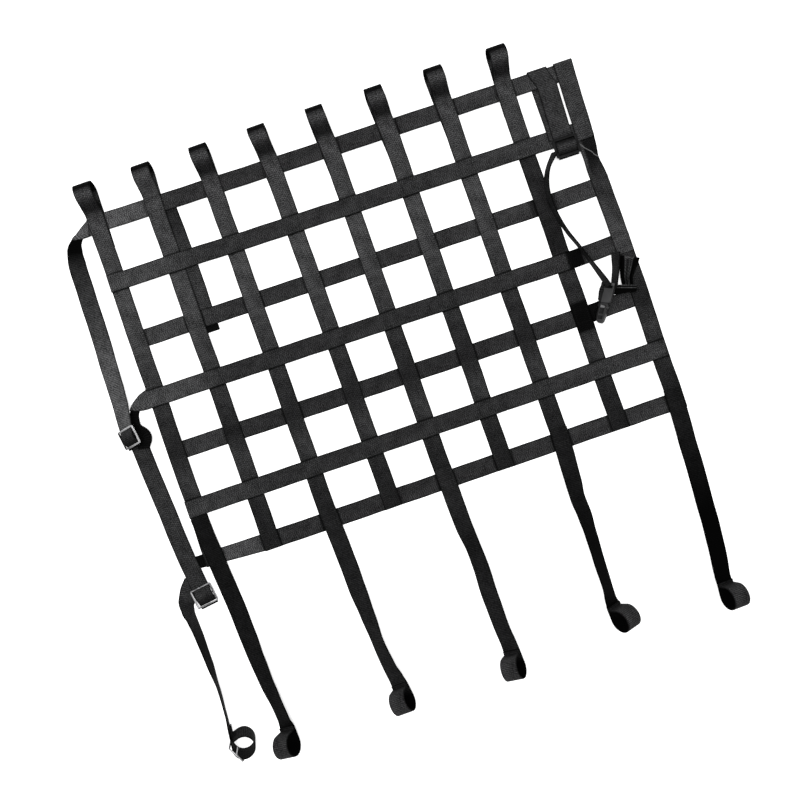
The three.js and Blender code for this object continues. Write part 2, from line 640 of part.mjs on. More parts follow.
// Side-release buckle, lying on its side across row 5: the latch half is nearest the tether
const BUCKLE = { top: { x: 682.6, y: -318.2 }, end: { x: 651.4, y: -369.1 }, tip: 32, height: 10.9 };
const BUCKLE_WIDTH = 20;
const BUCKLE_THICK = 8.5;
const BUCKLE_BEVEL = 0.8;
const LATCH_LENGTH = 30;
const LATCH_NECK_WIDTH = 13;
const LATCH_CHAMFER = 4;
const LATCH_SLOT = { wide: 15, from: 4, to: 8 };
const BODY = { width: 15.5, shoulder: 3, waist: 13, end: 10, endChamfer: 2.5, endTaper: 3 };
const BODY_NOTCH = { deep: 2, from: 5, long: 11, slope: 2 };
{
  const top = new THREE.Vector3(BUCKLE.top.x, BUCKLE.top.y, BUCKLE.height);
  const end = new THREE.Vector3(BUCKLE.end.x, BUCKLE.end.y, BUCKLE.height);
  const length = top.distanceTo(end);
  const along = end.clone().sub(top).normalize();
  const tip = THREE.MathUtils.degToRad(BUCKLE.tip);
  const across = new THREE.Vector3(-along.y, along.x, 0).multiplyScalar(Math.cos(tip));
  across.z = Math.sin(tip);
  const up = along.clone().cross(across).normalize();
  const basis = new THREE.Matrix4().makeBasis(across, along.clone().negate(), up).setPosition(top);
  const symmetrical = (Path, halfOutline) => {
    const left = halfOutline.map(([out, down]) => new THREE.Vector2(-out, -down));
    const right = halfOutline.map(([out, down]) => new THREE.Vector2(out, -down)).reverse();
    return new Path([...left, ...right]);
  };
  const moulded = (outline) => {
    const depth = BUCKLE_THICK - 2 * BUCKLE_BEVEL;
    const edges = { bevelSize: BUCKLE_BEVEL, bevelThickness: BUCKLE_BEVEL, bevelOffset: -BUCKLE_BEVEL };
    const geometry = new THREE.ExtrudeGeometry(outline, { depth, bevelSegments: 1, ...edges });
    return geometry.translate(0, 0, -depth / 2).applyMatrix4(basis);
  };

  const latch = symmetrical(THREE.Shape, [
    [BUCKLE_WIDTH / 2, 0],
    [BUCKLE_WIDTH / 2, LATCH_LENGTH - LATCH_CHAMFER],
    [LATCH_NECK_WIDTH / 2, LATCH_LENGTH],
  ]);
  latch.holes.push(symmetrical(THREE.Path, [
    [LATCH_SLOT.wide / 2, LATCH_SLOT.from],
    [LATCH_SLOT.wide / 2, LATCH_SLOT.to],
  ]));
  addPiece('buckle_latch', moulded(latch), BLACK_PLASTIC);

  const bodyStart = LATCH_LENGTH + LAYER_GAP;
  const notchIn = BODY.width / 2 - BODY_NOTCH.deep;
  const notchTop = bodyStart + BODY_NOTCH.from;
  const notchLow = notchTop + BODY_NOTCH.long;
  const body = symmetrical(THREE.Shape, [
    [LATCH_NECK_WIDTH / 2, bodyStart],
    [BODY.width / 2, bodyStart + BODY.shoulder],
    [BODY.width / 2, notchTop],
    [notchIn, notchTop + BODY_NOTCH.slope],
    [notchIn, notchLow - BODY_NOTCH.slope],
    [BODY.waist / 2, notchLow],
    [BODY.end / 2, length - BODY.endTaper],
    [BODY.end / 2 - BODY.endChamfer, length],
  ]);
  addPiece('buckle_body', moulded(body), BLACK_PLASTIC);
}

// Anchor strap: from under the edge column's sewn end to the buckle, almost on its edge
const ANCHOR = [
  { x: 705.5, y: -279, tip: 66, ...NARROW },
  { x: 698, y: -301, tip: 74, ...NARROW },
  { x: 690, y: -319.5, tip: 76, ...NARROW },
];
addPiece('anchor_strap', stripGeometry(routeStations(ANCHOR)), BLACK_WEBBING);

// Pleated strap end on the edge column: each row is a section across it, narrower and deeper in its
// pleats the further down it is
const PLEATS = [
  { x: 724.5, y: -290.4, wide: 31, turn: -24, deep: 0.8, base: 4 },
  { x: 719.4, y: -301.4, wide: 26.2, turn: -22, deep: 2.4, base: 4 },
  { x: 711, y: -317.6, wide: 18, turn: -14, deep: 4, base: 5.4 },
  { x: 706.5, y: -340, wide: 14, turn: -10, deep: 4.5, base: 5.8 },
];
const PLEAT_FOLDS = 6;
const PLEAT_THICK = 2;
{
  const positions = [];
  const index = [];
  const points = PLEAT_FOLDS + 1;
  for (const section of PLEATS) {
    const turn = THREE.MathUtils.degToRad(section.turn);
    for (const top of [0, 1]) {
      for (let fold = 0; fold < points; fold++) {
        const out = (fold / PLEAT_FOLDS - 0.5) * section.wide;
        const height = section.base + (fold % 2) * section.deep + top * PLEAT_THICK;
        positions.push(section.x + out * Math.cos(turn), section.y + out * Math.sin(turn), height);
      }
    }
  }
  const quad = (a, b, c, d) => index.push(a, b, c, a, c, d);
  const last = PLEATS.length - 1;
  for (let k = 0; k < last; k++) {
    const low = 2 * points * k;
    const next = low + 2 * points;
    for (let fold = 0; fold < PLEAT_FOLDS; fold++) {
      quad(low + fold, low + fold + 1, next + fold + 1, next + fold);
      const high = low + points + fold;
      quad(high + 1, high, high + 2 * points, high + 2 * points + 1);
    }
    quad(low, next, next + points, low + points);
    quad(low + PLEAT_FOLDS, low + PLEAT_FOLDS + points, next + PLEAT_FOLDS + points, next + PLEAT_FOLDS);
  }
  for (let fold = 0; fold < PLEAT_FOLDS; fold++) {
    quad(fold + 1, fold, points + fold, points + fold + 1);
    const end = 2 * points * last + fold;
    quad(end, end + 1, end + points + 1, end + points);
  }
  const geometry = new THREE.BufferGeometry();
  geometry.setAttribute('position', new THREE.Float32BufferAttribute(positions, 3));
  geometry.setIndex(index);
  geometry.computeVertexNormals();
  addPiece('pleated_end', geometry, BLACK_WEBBING);
}

// Keeper band: a flat loop of narrow tape round the foot of the pleats, reaching to the buckle
const KEEPER = { x: 704.7, y: -332.2, reach: 13.7, low: 5.1, high: 13.4, wide: 7, thick: 1.2, corner: 3 };
const KEEPER_TURN = THREE.MathUtils.degToRad(-18.4);
{
  const { reach, low, high, wide, thick, corner } = KEEPER;
  const outer = rounded(new THREE.Shape(), -reach - thick, reach + thick, low - thick, high + thick, corner);
  const inner = rounded(new THREE.Path(), -reach, reach, low, high, corner - thick);
  outer.holes.push(inner);
  const solid = { depth: wide, bevelEnabled: false, curveSegments: CORNER_SEGMENTS };
  const geometry = new THREE.ExtrudeGeometry(outer, solid).translate(0, 0, -wide / 2);
  geometry.rotateX(Math.PI / 2).rotateZ(KEEPER_TURN).translate(KEEPER.x, KEEPER.y, 0);
  addPiece('keeper_band', geometry, BLACK_WEBBING);
}

// The net's own origin: the middle of its outline, on the surface
const outline = new THREE.Box3().setFromObject(net);
const centre = outline.getCenter(new THREE.Vector3());
net.position.set(-centre.x, -centre.y, -outline.min.z);

export default net;
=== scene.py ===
import random
from collections import namedtuple
from functools import partial
from math import asin, atan2, ceil, cos, hypot, pi, radians, sin, sqrt, tau

import bmesh
import bpy
from mathutils import Matrix, Vector


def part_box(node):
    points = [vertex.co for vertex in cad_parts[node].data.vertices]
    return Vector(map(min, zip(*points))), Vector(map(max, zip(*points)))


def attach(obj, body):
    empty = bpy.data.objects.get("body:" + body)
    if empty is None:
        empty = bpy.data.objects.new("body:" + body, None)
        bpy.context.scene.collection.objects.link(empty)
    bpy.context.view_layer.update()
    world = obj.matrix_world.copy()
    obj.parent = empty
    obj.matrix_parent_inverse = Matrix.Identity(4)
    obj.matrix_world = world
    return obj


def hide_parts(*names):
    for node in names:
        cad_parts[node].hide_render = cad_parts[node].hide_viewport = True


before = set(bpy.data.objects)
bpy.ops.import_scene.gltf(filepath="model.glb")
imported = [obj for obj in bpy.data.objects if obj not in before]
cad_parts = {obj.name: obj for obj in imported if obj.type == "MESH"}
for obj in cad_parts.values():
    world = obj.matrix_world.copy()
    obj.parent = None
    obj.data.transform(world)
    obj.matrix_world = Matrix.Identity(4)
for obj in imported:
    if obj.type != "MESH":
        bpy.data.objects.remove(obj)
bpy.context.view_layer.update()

# Setting: a plain white table under soft studio light. The camera hangs straight above the net, turned so
# that the rows climb to the right. Sizes are in millimetres from where column 1 crosses row 1.
MM = 0.001
CORNER_SLIDE_AT = Vector((687.2, -110.5, 0))
CAMERA_AT = Vector((339.7, -383.7, 1200))
CAMERA_TURN = radians(-18.4)
CAMERA_VIEW = 1176.6
SENSOR = 36
FLOOR_SIZE = 40
FLOOR_DROP = -0.0002
FLOOR_GLOW = 0.45
LAMP_AIM = (340, -390, 0)
LAMPS = [("key_light", (-500, 300, 2200), 1.2, 34), ("overhead_light", (420, -500, 2600), 1.6, 55)]
WORLD_STRENGTH = 0.55
WHITE = (1, 1, 1, 1)

slide_low, slide_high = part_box("corner_slide")
net_origin = (slide_low + slide_high) / 2 - CORNER_SLIDE_AT * MM
net_origin.z = 0


def placed(point):
    return net_origin + Vector(point) * MM


def new_tree(owner):
    owner.use_nodes = True
    tree = owner.node_tree
    tree.nodes.clear()
    return tree


def add_node(tree, kind, inputs=None, **settings):
    node = tree.nodes.new(kind)
    for name, value in settings.items():
        setattr(node, name, value)
    for name, value in (inputs or {}).items():
        if isinstance(value, bpy.types.NodeSocket):
            tree.links.new(value, node.inputs[name])
        else:
            node.inputs[name].default_value = value
    return node


def new_finish(name):
    finish = bpy.data.materials.new(name)
    return finish, new_tree(finish)


def surface(tree, colour, roughness, others):
    inputs = {"Base Color": colour, "Roughness": roughness, **others}
    shader = add_node(tree, "ShaderNodeBsdfPrincipled", inputs)
    add_node(tree, "ShaderNodeOutputMaterial", {"Surface": shader.outputs["BSDF"]})


bpy.ops.object.select_all(action="DESELECT")
bpy.ops.mesh.primitive_plane_add(size=FLOOR_SIZE, location=(0, 0, FLOOR_DROP))
floor = bpy.context.object
floor.name = "table_top"
white_table, tree = new_finish("white_table")
lit = {"Specular IOR Level": 0.0, "Emission Color": WHITE, "Emission Strength": FLOOR_GLOW}
surface(tree, (0.8, 0.8, 0.8, 1), 0.9, lit)
floor.data.materials.append(white_table)

scene = bpy.context.scene
for name, at, size, power in LAMPS:
    light = bpy.data.lights.new(name, "AREA")
    light.size = size
    light.energy = power
    holder = bpy.data.objects.new(name, light)
    holder.location = placed(at)
    holder.visible_camera = False
    holder.rotation_euler = (placed(LAMP_AIM) - placed(at)).to_track_quat("-Z", "Y").to_euler()
    scene.collection.objects.link(holder)

studio_world = bpy.data.worlds.new("studio")
tree = new_tree(studio_world)
glow = add_node(tree, "ShaderNodeBackground", {"Color": WHITE, "Strength": WORLD_STRENGTH})
add_node(tree, "ShaderNodeOutputWorld", {"Surface": glow.outputs["Background"]})
scene.world = studio_world
scene.view_settings.view_transform = "Standard"

lens = bpy.data.cameras.new("overhead_camera")
lens.sensor_width = SENSOR
lens.lens = SENSOR * CAMERA_AT.z / CAMERA_VIEW
camera = bpy.data.objects.new("overhead_camera", lens)
camera.location = placed(CAMERA_AT)
camera.rotation_euler = (0, 0, CAMERA_TURN)
scene.collection.objects.link(camera)
scene.camera = camera

# Rows: seven lengths of black one-inch webbing across the net, woven with fine ribs and cut with a hot knife.
# Rows 1 and 4 end at the left in a slanting fold, and rows 2 and 3 rise over the strap that lies behind them.
WEB_WIDTH = 25.4
WEB_THICK = 1.6
LAYER_GAP = 0.3
LAYER = WEB_THICK + LAYER_GAP
CROSSING = WEB_WIDTH / 2 + 3
NET_WIDTH = 722
NET_DROP = -514
ROW = namedtuple("ROW", "left right layer")
ROWS = [
    ROW(1.7, -2.1, 1), ROW(-88, -92, 1), ROW(-179, -179, 0), ROW(-267, -268, 1), ROW(-352.4, -351, 0),
    ROW(-439, -433, 1), ROW(-520.5, -513, 0),
]
COLUMN = namedtuple("COLUMN", "top bottom lean")
COLUMNS = [
    COLUMN(0, 6, 2), COLUMN(88, 95, 2.5), COLUMN(178, 187, 0), COLUMN(270, 281, -3),
    COLUMN(359, 367, -4.3), COLUMN(449, 456, -4.2), COLUMN(539, 546, -3.2), COLUMN(629, 634, 2.5),
    COLUMN(722, 724, 0),
]
ROW_END = NET_WIDTH + WEB_WIDTH / 2
ROW_OVERHANG = 0.5
BOTTOM_ROW_LEVEL = 96
BOTTOM_ROW_END = [(20, 3, 21), (-27, 4.4, 17)]
BOTTOM_ROW_BLACK = 21
BOTTOM_ROW_TONE = 0.02
ROW_TUCKS = {1: 1.8, 2: 1.2}
RIGHT_TURN = 652
RIGHT_RISES = {2: 2, 3: 3.2, 4: 2.5}
LIFTED_ROWS = (1, 2)
LIFT_FROM = 72
LIFT_TO = 126
LIFT_RAMP = 36
FOLD_WIDTH = 37.5
FOLD_ACROSS = Vector((31, 21, 0)).normalized()
FOLDS = {0: (-27.5, 1, 0.8), 3: (-26, -263, 3.6)}
FOLD_BOW_STEPS = 8
FOLD_TAPER = 1.12
FOLD_NECK = -9
EASE_STEPS = 10
STATION = namedtuple("STATION", "middle across width along", defaults=(None,))
RUN = namedtuple("RUN", "start end layer")


def lerp(a, b, share):
    return a + (b - a) * share


def smooth(share):
    return share * share * (3 - 2 * share)


def half_turn(steps):
    return [lerp(-pi / 2, pi / 2, step / steps) for step in range(steps + 1)]


def middle_of(layer):
    return layer * LAYER + WEB_THICK / 2


def row_height(row, x):
    return lerp(ROWS[row].left, ROWS[row].right, x / NET_WIDTH)


def column_place(column, y):
    return lerp(COLUMNS[column].top, COLUMNS[column].bottom, y / NET_DROP)


def eased_profile(runs):
    profile = []
    for run, following in zip(runs, runs[1:] + [None]):
        height = middle_of(run.layer)
        profile.append((run.start, height))
        if run.end > run.start:
            profile.append((run.end, height))
        if following is None or following.layer == run.layer:
            continue
        for step in range(1, EASE_STEPS):
            share = step / EASE_STEPS
            eased = lerp(height, middle_of(following.layer), smooth(share))
            profile.append((lerp(run.end, following.start, share), eased))
    return profile


def maths(tree, operation, *values, clamp=False):
    values = dict(enumerate(values))
    return add_node(tree, "ShaderNodeMath", values, operation=operation, use_clamp=clamp).outputs[0]


def noise(tree, place, scale, detail=2.0):
    inputs = {"Vector": place, "Scale": scale, "Detail": detail}
    return add_node(tree, "ShaderNodeTexNoise", inputs).outputs[0]


def mixed(tree, share, first, last):
    inputs = {"Factor": share, "A": first, "B": last}
    return add_node(tree, "ShaderNodeMix", inputs, data_type="RGBA").outputs["Result"]


def attribute(tree, name):
    return add_node(tree, "ShaderNodeAttribute", attribute_name=name).outputs["Fac"]


# The weave: ribs slant across the tape and turn back as chevrons, and lengthwise yarns break them into dashes
def woven_group():
    group = bpy.data.node_groups.new("woven_tape", "ShaderNodeTree")
    group.interface.new_socket("Place", in_out="INPUT", socket_type="NodeSocketVector")
    for name in ("Rib pitch", "Slant", "Chevron", "Yarn pitch"):
        group.interface.new_socket(name, in_out="INPUT", socket_type="NodeSocketFloat")
    for name in ("Thread", "Mottle"):
        group.interface.new_socket(name, in_out="OUTPUT", socket_type="NodeSocketFloat")
    entry = add_node(group, "NodeGroupInput").outputs
    number = partial(maths, group)

    def wave(place, pitch):
        return number("SINE", number("MULTIPLY", number("DIVIDE", place, pitch), tau))

    parts = add_node(group, "ShaderNodeSeparateXYZ", {0: entry["Place"]}).outputs
    zigzag = number("PINGPONG", parts["Y"], entry["Chevron"])
    slanted = number("ADD", parts["X"], number("MULTIPLY", zigzag, entry["Slant"]))
    breaks = number("MULTIPLY_ADD", wave(parts["Y"], entry["Yarn pitch"]), 0.22, 0.28)
    dashes = number("MULTIPLY", wave(slanted, entry["Rib pitch"]), breaks)
    broad = number("MULTIPLY", noise(group, entry["Place"], 60.0), 0.8)
    grain = number("MULTIPLY_ADD", noise(group, entry["Place"], 420.0), 1.7, broad)
    thread = number("ADD", dashes, 0.5)
    mottle = number("SUBTRACT", grain, 0.75, clamp=True)
    add_node(group, "NodeGroupOutput", {"Thread": thread, "Mottle": mottle})
    return group


woven_tape = woven_group()
# Ends of the tone mix: the blackest webbing, also used for painted shade, and the greyest, used for painted
# light
DARKEST_TONE = (0.0004, 0.0004, 0.0004, 1)
LIGHTEST_TONE = (0.065, 0.065, 0.0663, 1)


# Webbing's finish: the tone attribute mixes from the blackest to the greyest colour. It holds painted light
# and shade along the straps as well as the darker webbing of some straps, and the selvedge is darker
def webbing_finish(name, rib_pitch, slant, chevron, yarn_pitch):
    finish, tree = new_finish(name)
    number = partial(maths, tree)
    place = add_node(tree, "ShaderNodeUVMap", uv_map="tape").outputs["UV"]
    sizes = {"Rib pitch": rib_pitch, "Slant": slant, "Chevron": chevron, "Yarn pitch": yarn_pitch}
    weave = add_node(tree, "ShaderNodeGroup", {"Place": place, **sizes}, node_tree=woven_tape).outputs
    tone_colour = mixed(tree, attribute(tree, "tone"), DARKEST_TONE, LIGHTEST_TONE)
    light = number("MULTIPLY_ADD", weave["Thread"], 1.7, 0.08)
    spread = number("MULTIPLY_ADD", weave["Mottle"], 1.8, 0.1)
    kept = number("MULTIPLY_ADD", attribute(tree, "selvedge"), -0.85, 1.0)
    shade = number("MULTIPLY", number("MULTIPLY", light, spread), kept)
    colour = add_node(tree, "ShaderNodeVectorMath", {0: tone_colour, "Scale": shade}, operation="SCALE")
    relief = {"Strength": 0.6, "Distance": 0.0004, "Height": weave["Thread"]}
    normal = add_node(tree, "ShaderNodeBump", relief).outputs["Normal"]
    roughness = number("MULTIPLY_ADD", weave["Mottle"], 0.3, 0.55)
    surface(tree, colour.outputs["Vector"], roughness, {"Normal": normal, "Specular IOR Level": 0.015})
    return finish


twill_webbing = webbing_finish("twill_webbing", 0.0034, 0.9, 0.0085, 0.0026)
ribbed_webbing = webbing_finish("ribbed_webbing", 0.0025, 0.0, 0.0254, 0.0031)

STATION_SPACING = 2.5
FACE_SHARES = (-0.5, 0, 0.5)
SELVEDGE_WIDE = 1.6
SELVEDGE_SWELL = 0.45
SELVEDGE_STEPS = 4
SELVEDGE_TURN = 0.7
WOBBLES = [(0.1, 47), (0.08, 83), (0.1, 151)]
RIM = namedtuple("RIM", "across height selvedge")


def tape_section(width):
    radius = WEB_THICK / 2
    flat = width / 2 + SELVEDGE_SWELL - radius
    inner = flat - SELVEDGE_WIDE
    face = [(-inner, 0), *((share * flat, 0) for share in FACE_SHARES), (inner, 0)]
    section = []
    for side in (1, -1):
        for out, selvedge in [(-flat, SELVEDGE_TURN), *face, (flat, SELVEDGE_TURN)]:
            section.append(RIM(side * out, -side * radius, selvedge))
        for angle in half_turn(SELVEDGE_STEPS)[1:-1]:
            out = flat + radius * cos(angle)
            section.append(RIM(side * out, side * radius * sin(angle), 1))
    return section


def close_set(stations):
    filled = [stations[0]]
    for before, after in zip(stations, stations[1:]):
        gap = (after.middle - before.middle).length
        count = max(1, ceil(gap / STATION_SPACING))
        for step in range(1, count + 1):
            share = step / count
            middle = before.middle.lerp(after.middle, share)
            across = before.across.lerp(after.across, share).normalized()
            filled.append(STATION(middle, across, lerp(before.width, after.width, share)))
    return filled


# A tone that changes along a strap, from stops that each hold a share of its length and a tone
def graded(*stops):
    def tone(share, middle, aside, upper):
        for (start, first), (end, last) in zip(stops, stops[1:]):
            if share <= end:
                return lerp(first, last, (share - start) / (end - start))
        return stops[-1][1]

    return tone


def paint(mesh, name, values, domain="POINT"):
    mesh.attributes.new(name, "FLOAT", domain).data.foreach_set("value", values)


def riding_piece(name, mesh, finish, slot):
    mesh.materials.append(finish)
    piece = bpy.data.objects.new(name, mesh)
    scene.collection.objects.link(piece)
    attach(piece, "root")
    return piece


def cloth_piece(name, points, faces, places, tones, finish, slot):
    mesh = bpy.data.meshes.new(name)
    mesh.from_pydata(points, [], faces)
    tape = mesh.uv_layers.new(name="tape")
    for loop in mesh.loops:
        tape.data[loop.index].uv = places[loop.vertex_index]
    paint(mesh, "tone", tones)
    piece = riding_piece("webbing_" + name, mesh, finish, slot)
    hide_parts(name)
    return piece


def ring_faces(rings, around):
    faces = []
    for ring, following in zip(rings, rings[1:]):
        for n in range(around):
            after = (n + 1) % around
            a, b = ring * around, following * around
            faces.append((a + n, a + after, b + after, b + n))
    return faces


def tape_piece(name, stations, tone, held="laid", finish=twill_webbing, slot="black_webbing", steady=False):
    stations = close_set(stations)
    wander = random.Random(name)
    phases = [(size, length, wander.uniform(0, tau)) for size, length in WOBBLES]
    travelled = [0]
    for before, after in zip(stations, stations[1:]):
        travelled.append(travelled[-1] + (after.middle - before.middle).length)
    total = travelled[-1]
    points, places, tones, rims = [], [], [], []
    for k, station in enumerate(stations):
        ahead = stations[min(k + 1, len(stations) - 1)].middle - stations[max(k - 1, 0)].middle
        up = ahead.cross(station.across).normalized()
        wobble = 0
        for size, length, phase in [] if steady else phases:
            wobble += size * sin(phase + tau * travelled[k] / length)
        for rim in tape_section(station.width):
            point = station.middle + station.across * (rim.across + wobble) + up * rim.height
            point.z = max(point.z, 0)
            points.append(placed(point))
            places.append((travelled[k] * MM, rim.across * MM))
            aside = 2 * rim.across / station.width
            tones.append(tone(travelled[k] / total, station.middle, aside, rim.height > 0))
            rims.append(rim.selvedge)
    around = len(tape_section(WEB_WIDTH))
    faces = ring_faces(range(len(stations)), around)
    last = (len(stations) - 1) * around
    ends = [tuple(reversed(range(around))), tuple(range(last, last + around))]
    piece = cloth_piece(name, points, faces + ends, places, tones, finish, slot)
    paint(piece.data, "selvedge", rims)
    piece.data.polygons.foreach_set("use_smooth", [True] * len(faces) + [False] * len(ends))
    width = sum(station.width for station in stations) / len(stations)


# Shade beside the edge of a strap that crosses over, by the distance from that strap's middle
SHADE_FROM = WEB_WIDTH / 2 + 0.3
SHADE_WIDE = 3.2
SHADE_DEEPEST = 0.1


def beside_crossing(distance):
    share = (distance - SHADE_FROM) / SHADE_WIDE
    return 1 if not 0 <= share <= 1 else lerp(SHADE_DEEPEST, 1, smooth(share))


# Patches of shade under the tether and the buckle, with the share of the tone that is kept there
PATCHES = [(612, 646, -250, -105, 0.35), (639, 659, -285, -250, 0.05), (624, 662, -372, -332, 0.08)]
PATCH_EDGE = 5


def patch_shade(middle):
    shade = 1
    for left, right, low, high, kept in PATCHES:
        aside = max(left - middle.x, middle.x - right)
        above = max(low - middle.y, middle.y - high)
        shade *= lerp(kept, 1, smooth(min(max(aside, above, 0) / PATCH_EDGE, 1)))
    return shade


# Painted light and shade along each row: the tone at its left end, over its middle, and at its right end
ROW_TONES = [
    (0.76, 0.28, 0.5), (0.5, 0.28, 0.44), (0.45, 0.28, 0.46), (0.52, 0.24, 0.36), (0.34, 0.22, 0.34),
    (0.35, 0.24, 0.4), (0.6, 0.24, 0.36),
]
for r, row in enumerate(ROWS):
    slant = atan2(row.right - row.left, NET_WIDTH)
    across = Vector((-sin(slant), cos(slant), 0))
    start = column_place(0, row.left) - WEB_WIDTH / 2 - ROW_OVERHANG
    if r in FOLDS:
        start = FOLD_NECK
    elif row is ROWS[-1]:
        start = BOTTOM_ROW_LEVEL
    row_end = ROW_END - ROW_TUCKS.get(r, 0)
    runs = [RUN(start, row_end, row.layer)]
    if r in LIFTED_ROWS:
        runs = [
            RUN(start, LIFT_FROM - LIFT_RAMP, row.layer),
            RUN(LIFT_FROM, LIFT_TO, row.layer + 1),
            RUN(LIFT_TO + LIFT_RAMP, row_end, row.layer),
        ]
    stations = [STATION(Vector((x, row_height(r, x), z)), across, WEB_WIDTH) for x, z in eased_profile(runs)]
    if r in RIGHT_RISES:
        end = stations.pop()
        turn = Vector((RIGHT_TURN, row_height(r, RIGHT_TURN), end.middle.z))
        raised = end.middle + Vector((0, RIGHT_RISES[r], 0))
        stations += [end._replace(middle=turn), end._replace(middle=raised)]
    if r in FOLDS:
        x, y, bow = FOLDS[r]
        fold = Vector((x, y, middle_of(row.layer)))
        stations.insert(0, STATION(fold, FOLD_ACROSS, FOLD_WIDTH))
        for step in range(1, FOLD_BOW_STEPS + 1):
            share = step / FOLD_BOW_STEPS
            bowed = fold + Vector((-FOLD_ACROSS.y, FOLD_ACROSS.x, 0)) * bow * share
            stations.insert(0, STATION(bowed, FOLD_ACROSS, FOLD_WIDTH * sqrt(FOLD_TAPER - share)))
    if row is ROWS[-1]:
        for x, rise, wide in BOTTOM_ROW_END:
            middle = Vector((x, row_height(r, x) + rise, middle_of(row.layer)))
            stations.insert(0, STATION(middle, across, wide))

    left, inner, right = ROW_TONES[r]
    base_tone = graded((0, left), (0.11, left), (0.18, inner), (0.62, inner), (1, right))

    # Each row also gets painted shade beside the columns that cross over it and in the patches of shade, and
    # the bottom row's left end is painted black
    def row_tone(share, middle, aside, upper):
        tone = base_tone(share, middle, aside, upper) * patch_shade(middle)
        if r == len(ROWS) - 1 and middle.x < BOTTOM_ROW_BLACK:
            return BOTTOM_ROW_TONE
        if r % 2 == 0:
            for column in range(len(COLUMNS)):
                tone *= beside_crossing(abs(middle.x - column_place(column, middle.y)))
        return tone

    tape_piece(f"row_{r + 1}", stations, row_tone)

# Columns 1 to 8: lengths of the same webbing down the net. Each upper end is turned back behind row 1 and
# sewn, which leaves an open hanging loop, and the front passes over and under the rows to the bottom edge.
EYE = namedtuple("EYE", "radius reach bend fillet")
LOOP = EYE(14.5, 44.7, 17, 6)
LOOP_TAIL_END = -38
SHORT_TAIL_END = 3
TAIL_CLEAR = 41
LIFTED_COLUMN = 1
BACK_STRAP_END = 206
FIRST_COLUMN_SHORT = 6
ARC_STEPS = 40
FILLET_STEPS = 6


def eye_profile(eye, low, high):
    centre = low + eye.radius
    out = eye.reach - eye.bend
    rise = centre - high
    slope = atan2(rise, out) + asin(eye.radius / hypot(out, rise))
    profile = []
    for step in range(ARC_STEPS + 1):
        angle = lerp(-pi / 2, pi / 2 + slope, step / ARC_STEPS)
        out = eye.reach + eye.radius * cos(angle)
        profile.append((out, centre + eye.radius * sin(angle)))
    corner = Vector((eye.bend, high))
    start = corner + Vector((cos(slope), sin(slope))) * eye.fillet
    end = corner - Vector((eye.fillet, 0))
    for step in range(FILLET_STEPS + 1):
        share = step / FILLET_STEPS
        point = start.lerp(corner, share).lerp(corner.lerp(end, share), share)
        profile.append((point.x, point.y))
    return profile


def crossing_layer(column, r):
    lifted = 1 if column == LIFTED_COLUMN and r in LIFTED_ROWS else 0
    side = 1 if r % 2 == 0 else -1
    return ROWS[r].layer + side + lifted


def crossing_run(column, r):
    down = -row_height(r, COLUMNS[column].top)
    return RUN(down - CROSSING, down + CROSSING, crossing_layer(column, r))


def column_stations(column, profile):
    top, bottom, lean = COLUMNS[column]
    slant = atan2(bottom - top, -NET_DROP)
    across = Vector((cos(slant), sin(slant), 0))
    stations = []
    for y, z in profile:
        aside = lean * min(max(y / LOOP.reach, 0), 1)
        stations.append(STATION(Vector((column_place(column, y) + aside, y, z)), across, WEB_WIDTH))
    return stations


# Painted light and shade down the columns, by the distance down from row 1: black at the loop's crown, grey
# on its lit front, dark at its foot, and mostly darker towards the bottom of the net
PALE_FOOT = (14, 40)
PALE_TONE = 0.5
COLUMN_TONES = graded(
    (-60, 0.02), (-50, 0.02), (-47.5, 0.2), (-42, 0.5), (-38, 0.44), (-33, 0.22), (-27, 0.13), (-22, 0.13),
    (-15, 0.34), (-5, 0.5), (45, 0.46), (133, 0.52), (223, 0.37), (310, 0.22), (352, 0.13), (396, 0.32),
    (477, 0.14), (530, 0.12),
)


# Each column also gets painted shade beside the rows that cross over it and in the patches of shade, and the
# loop of column 2 is painted no darker than PALE_TONE near its foot
def column_tone(share, middle, aside, upper):
    tone = COLUMN_TONES(-middle.y, middle, aside, upper)
    if PALE_FOOT[0] < middle.y < PALE_FOOT[1] and abs(middle.x - COLUMNS[LIFTED_COLUMN].top) < WEB_WIDTH:
        tone = max(tone, PALE_TONE)
    tone *= patch_shade(middle)
    for r in range(1, len(ROWS), 2):
        tone *= beside_crossing(abs(middle.y - row_height(r, middle.x)))
    return tone


for column in range(len(COLUMNS) - 1):
    lifted = column == LIFTED_COLUMN
    runs = [crossing_run(column, r) for r in range(len(ROWS))]
    runs[0] = runs[0]._replace(start=LOOP.fillet - LOOP.bend)
    runs[-1] = runs[-1]._replace(end=runs[-1].end - CROSSING + WEB_WIDTH / 2)
    if column == 0:
        runs[-1] = runs[-1]._replace(end=runs[-1].end - FIRST_COLUMN_SHORT)
    if lifted:
        runs[2] = runs[2]._replace(end=BACK_STRAP_END)
    else:
        runs.insert(1, RUN(TAIL_CLEAR, TAIL_CLEAR, 1))
    front = [(-down, z) for down, z in eased_profile(runs)[1:]]
    tail = [(SHORT_TAIL_END if lifted else LOOP_TAIL_END, middle_of(0))]
    eye = eye_profile(LOOP, middle_of(0), middle_of(2))
    stations = column_stations(column, tail + eye + front)
    tape_piece(f"column_{column + 1}", stations, column_tone, "folded")

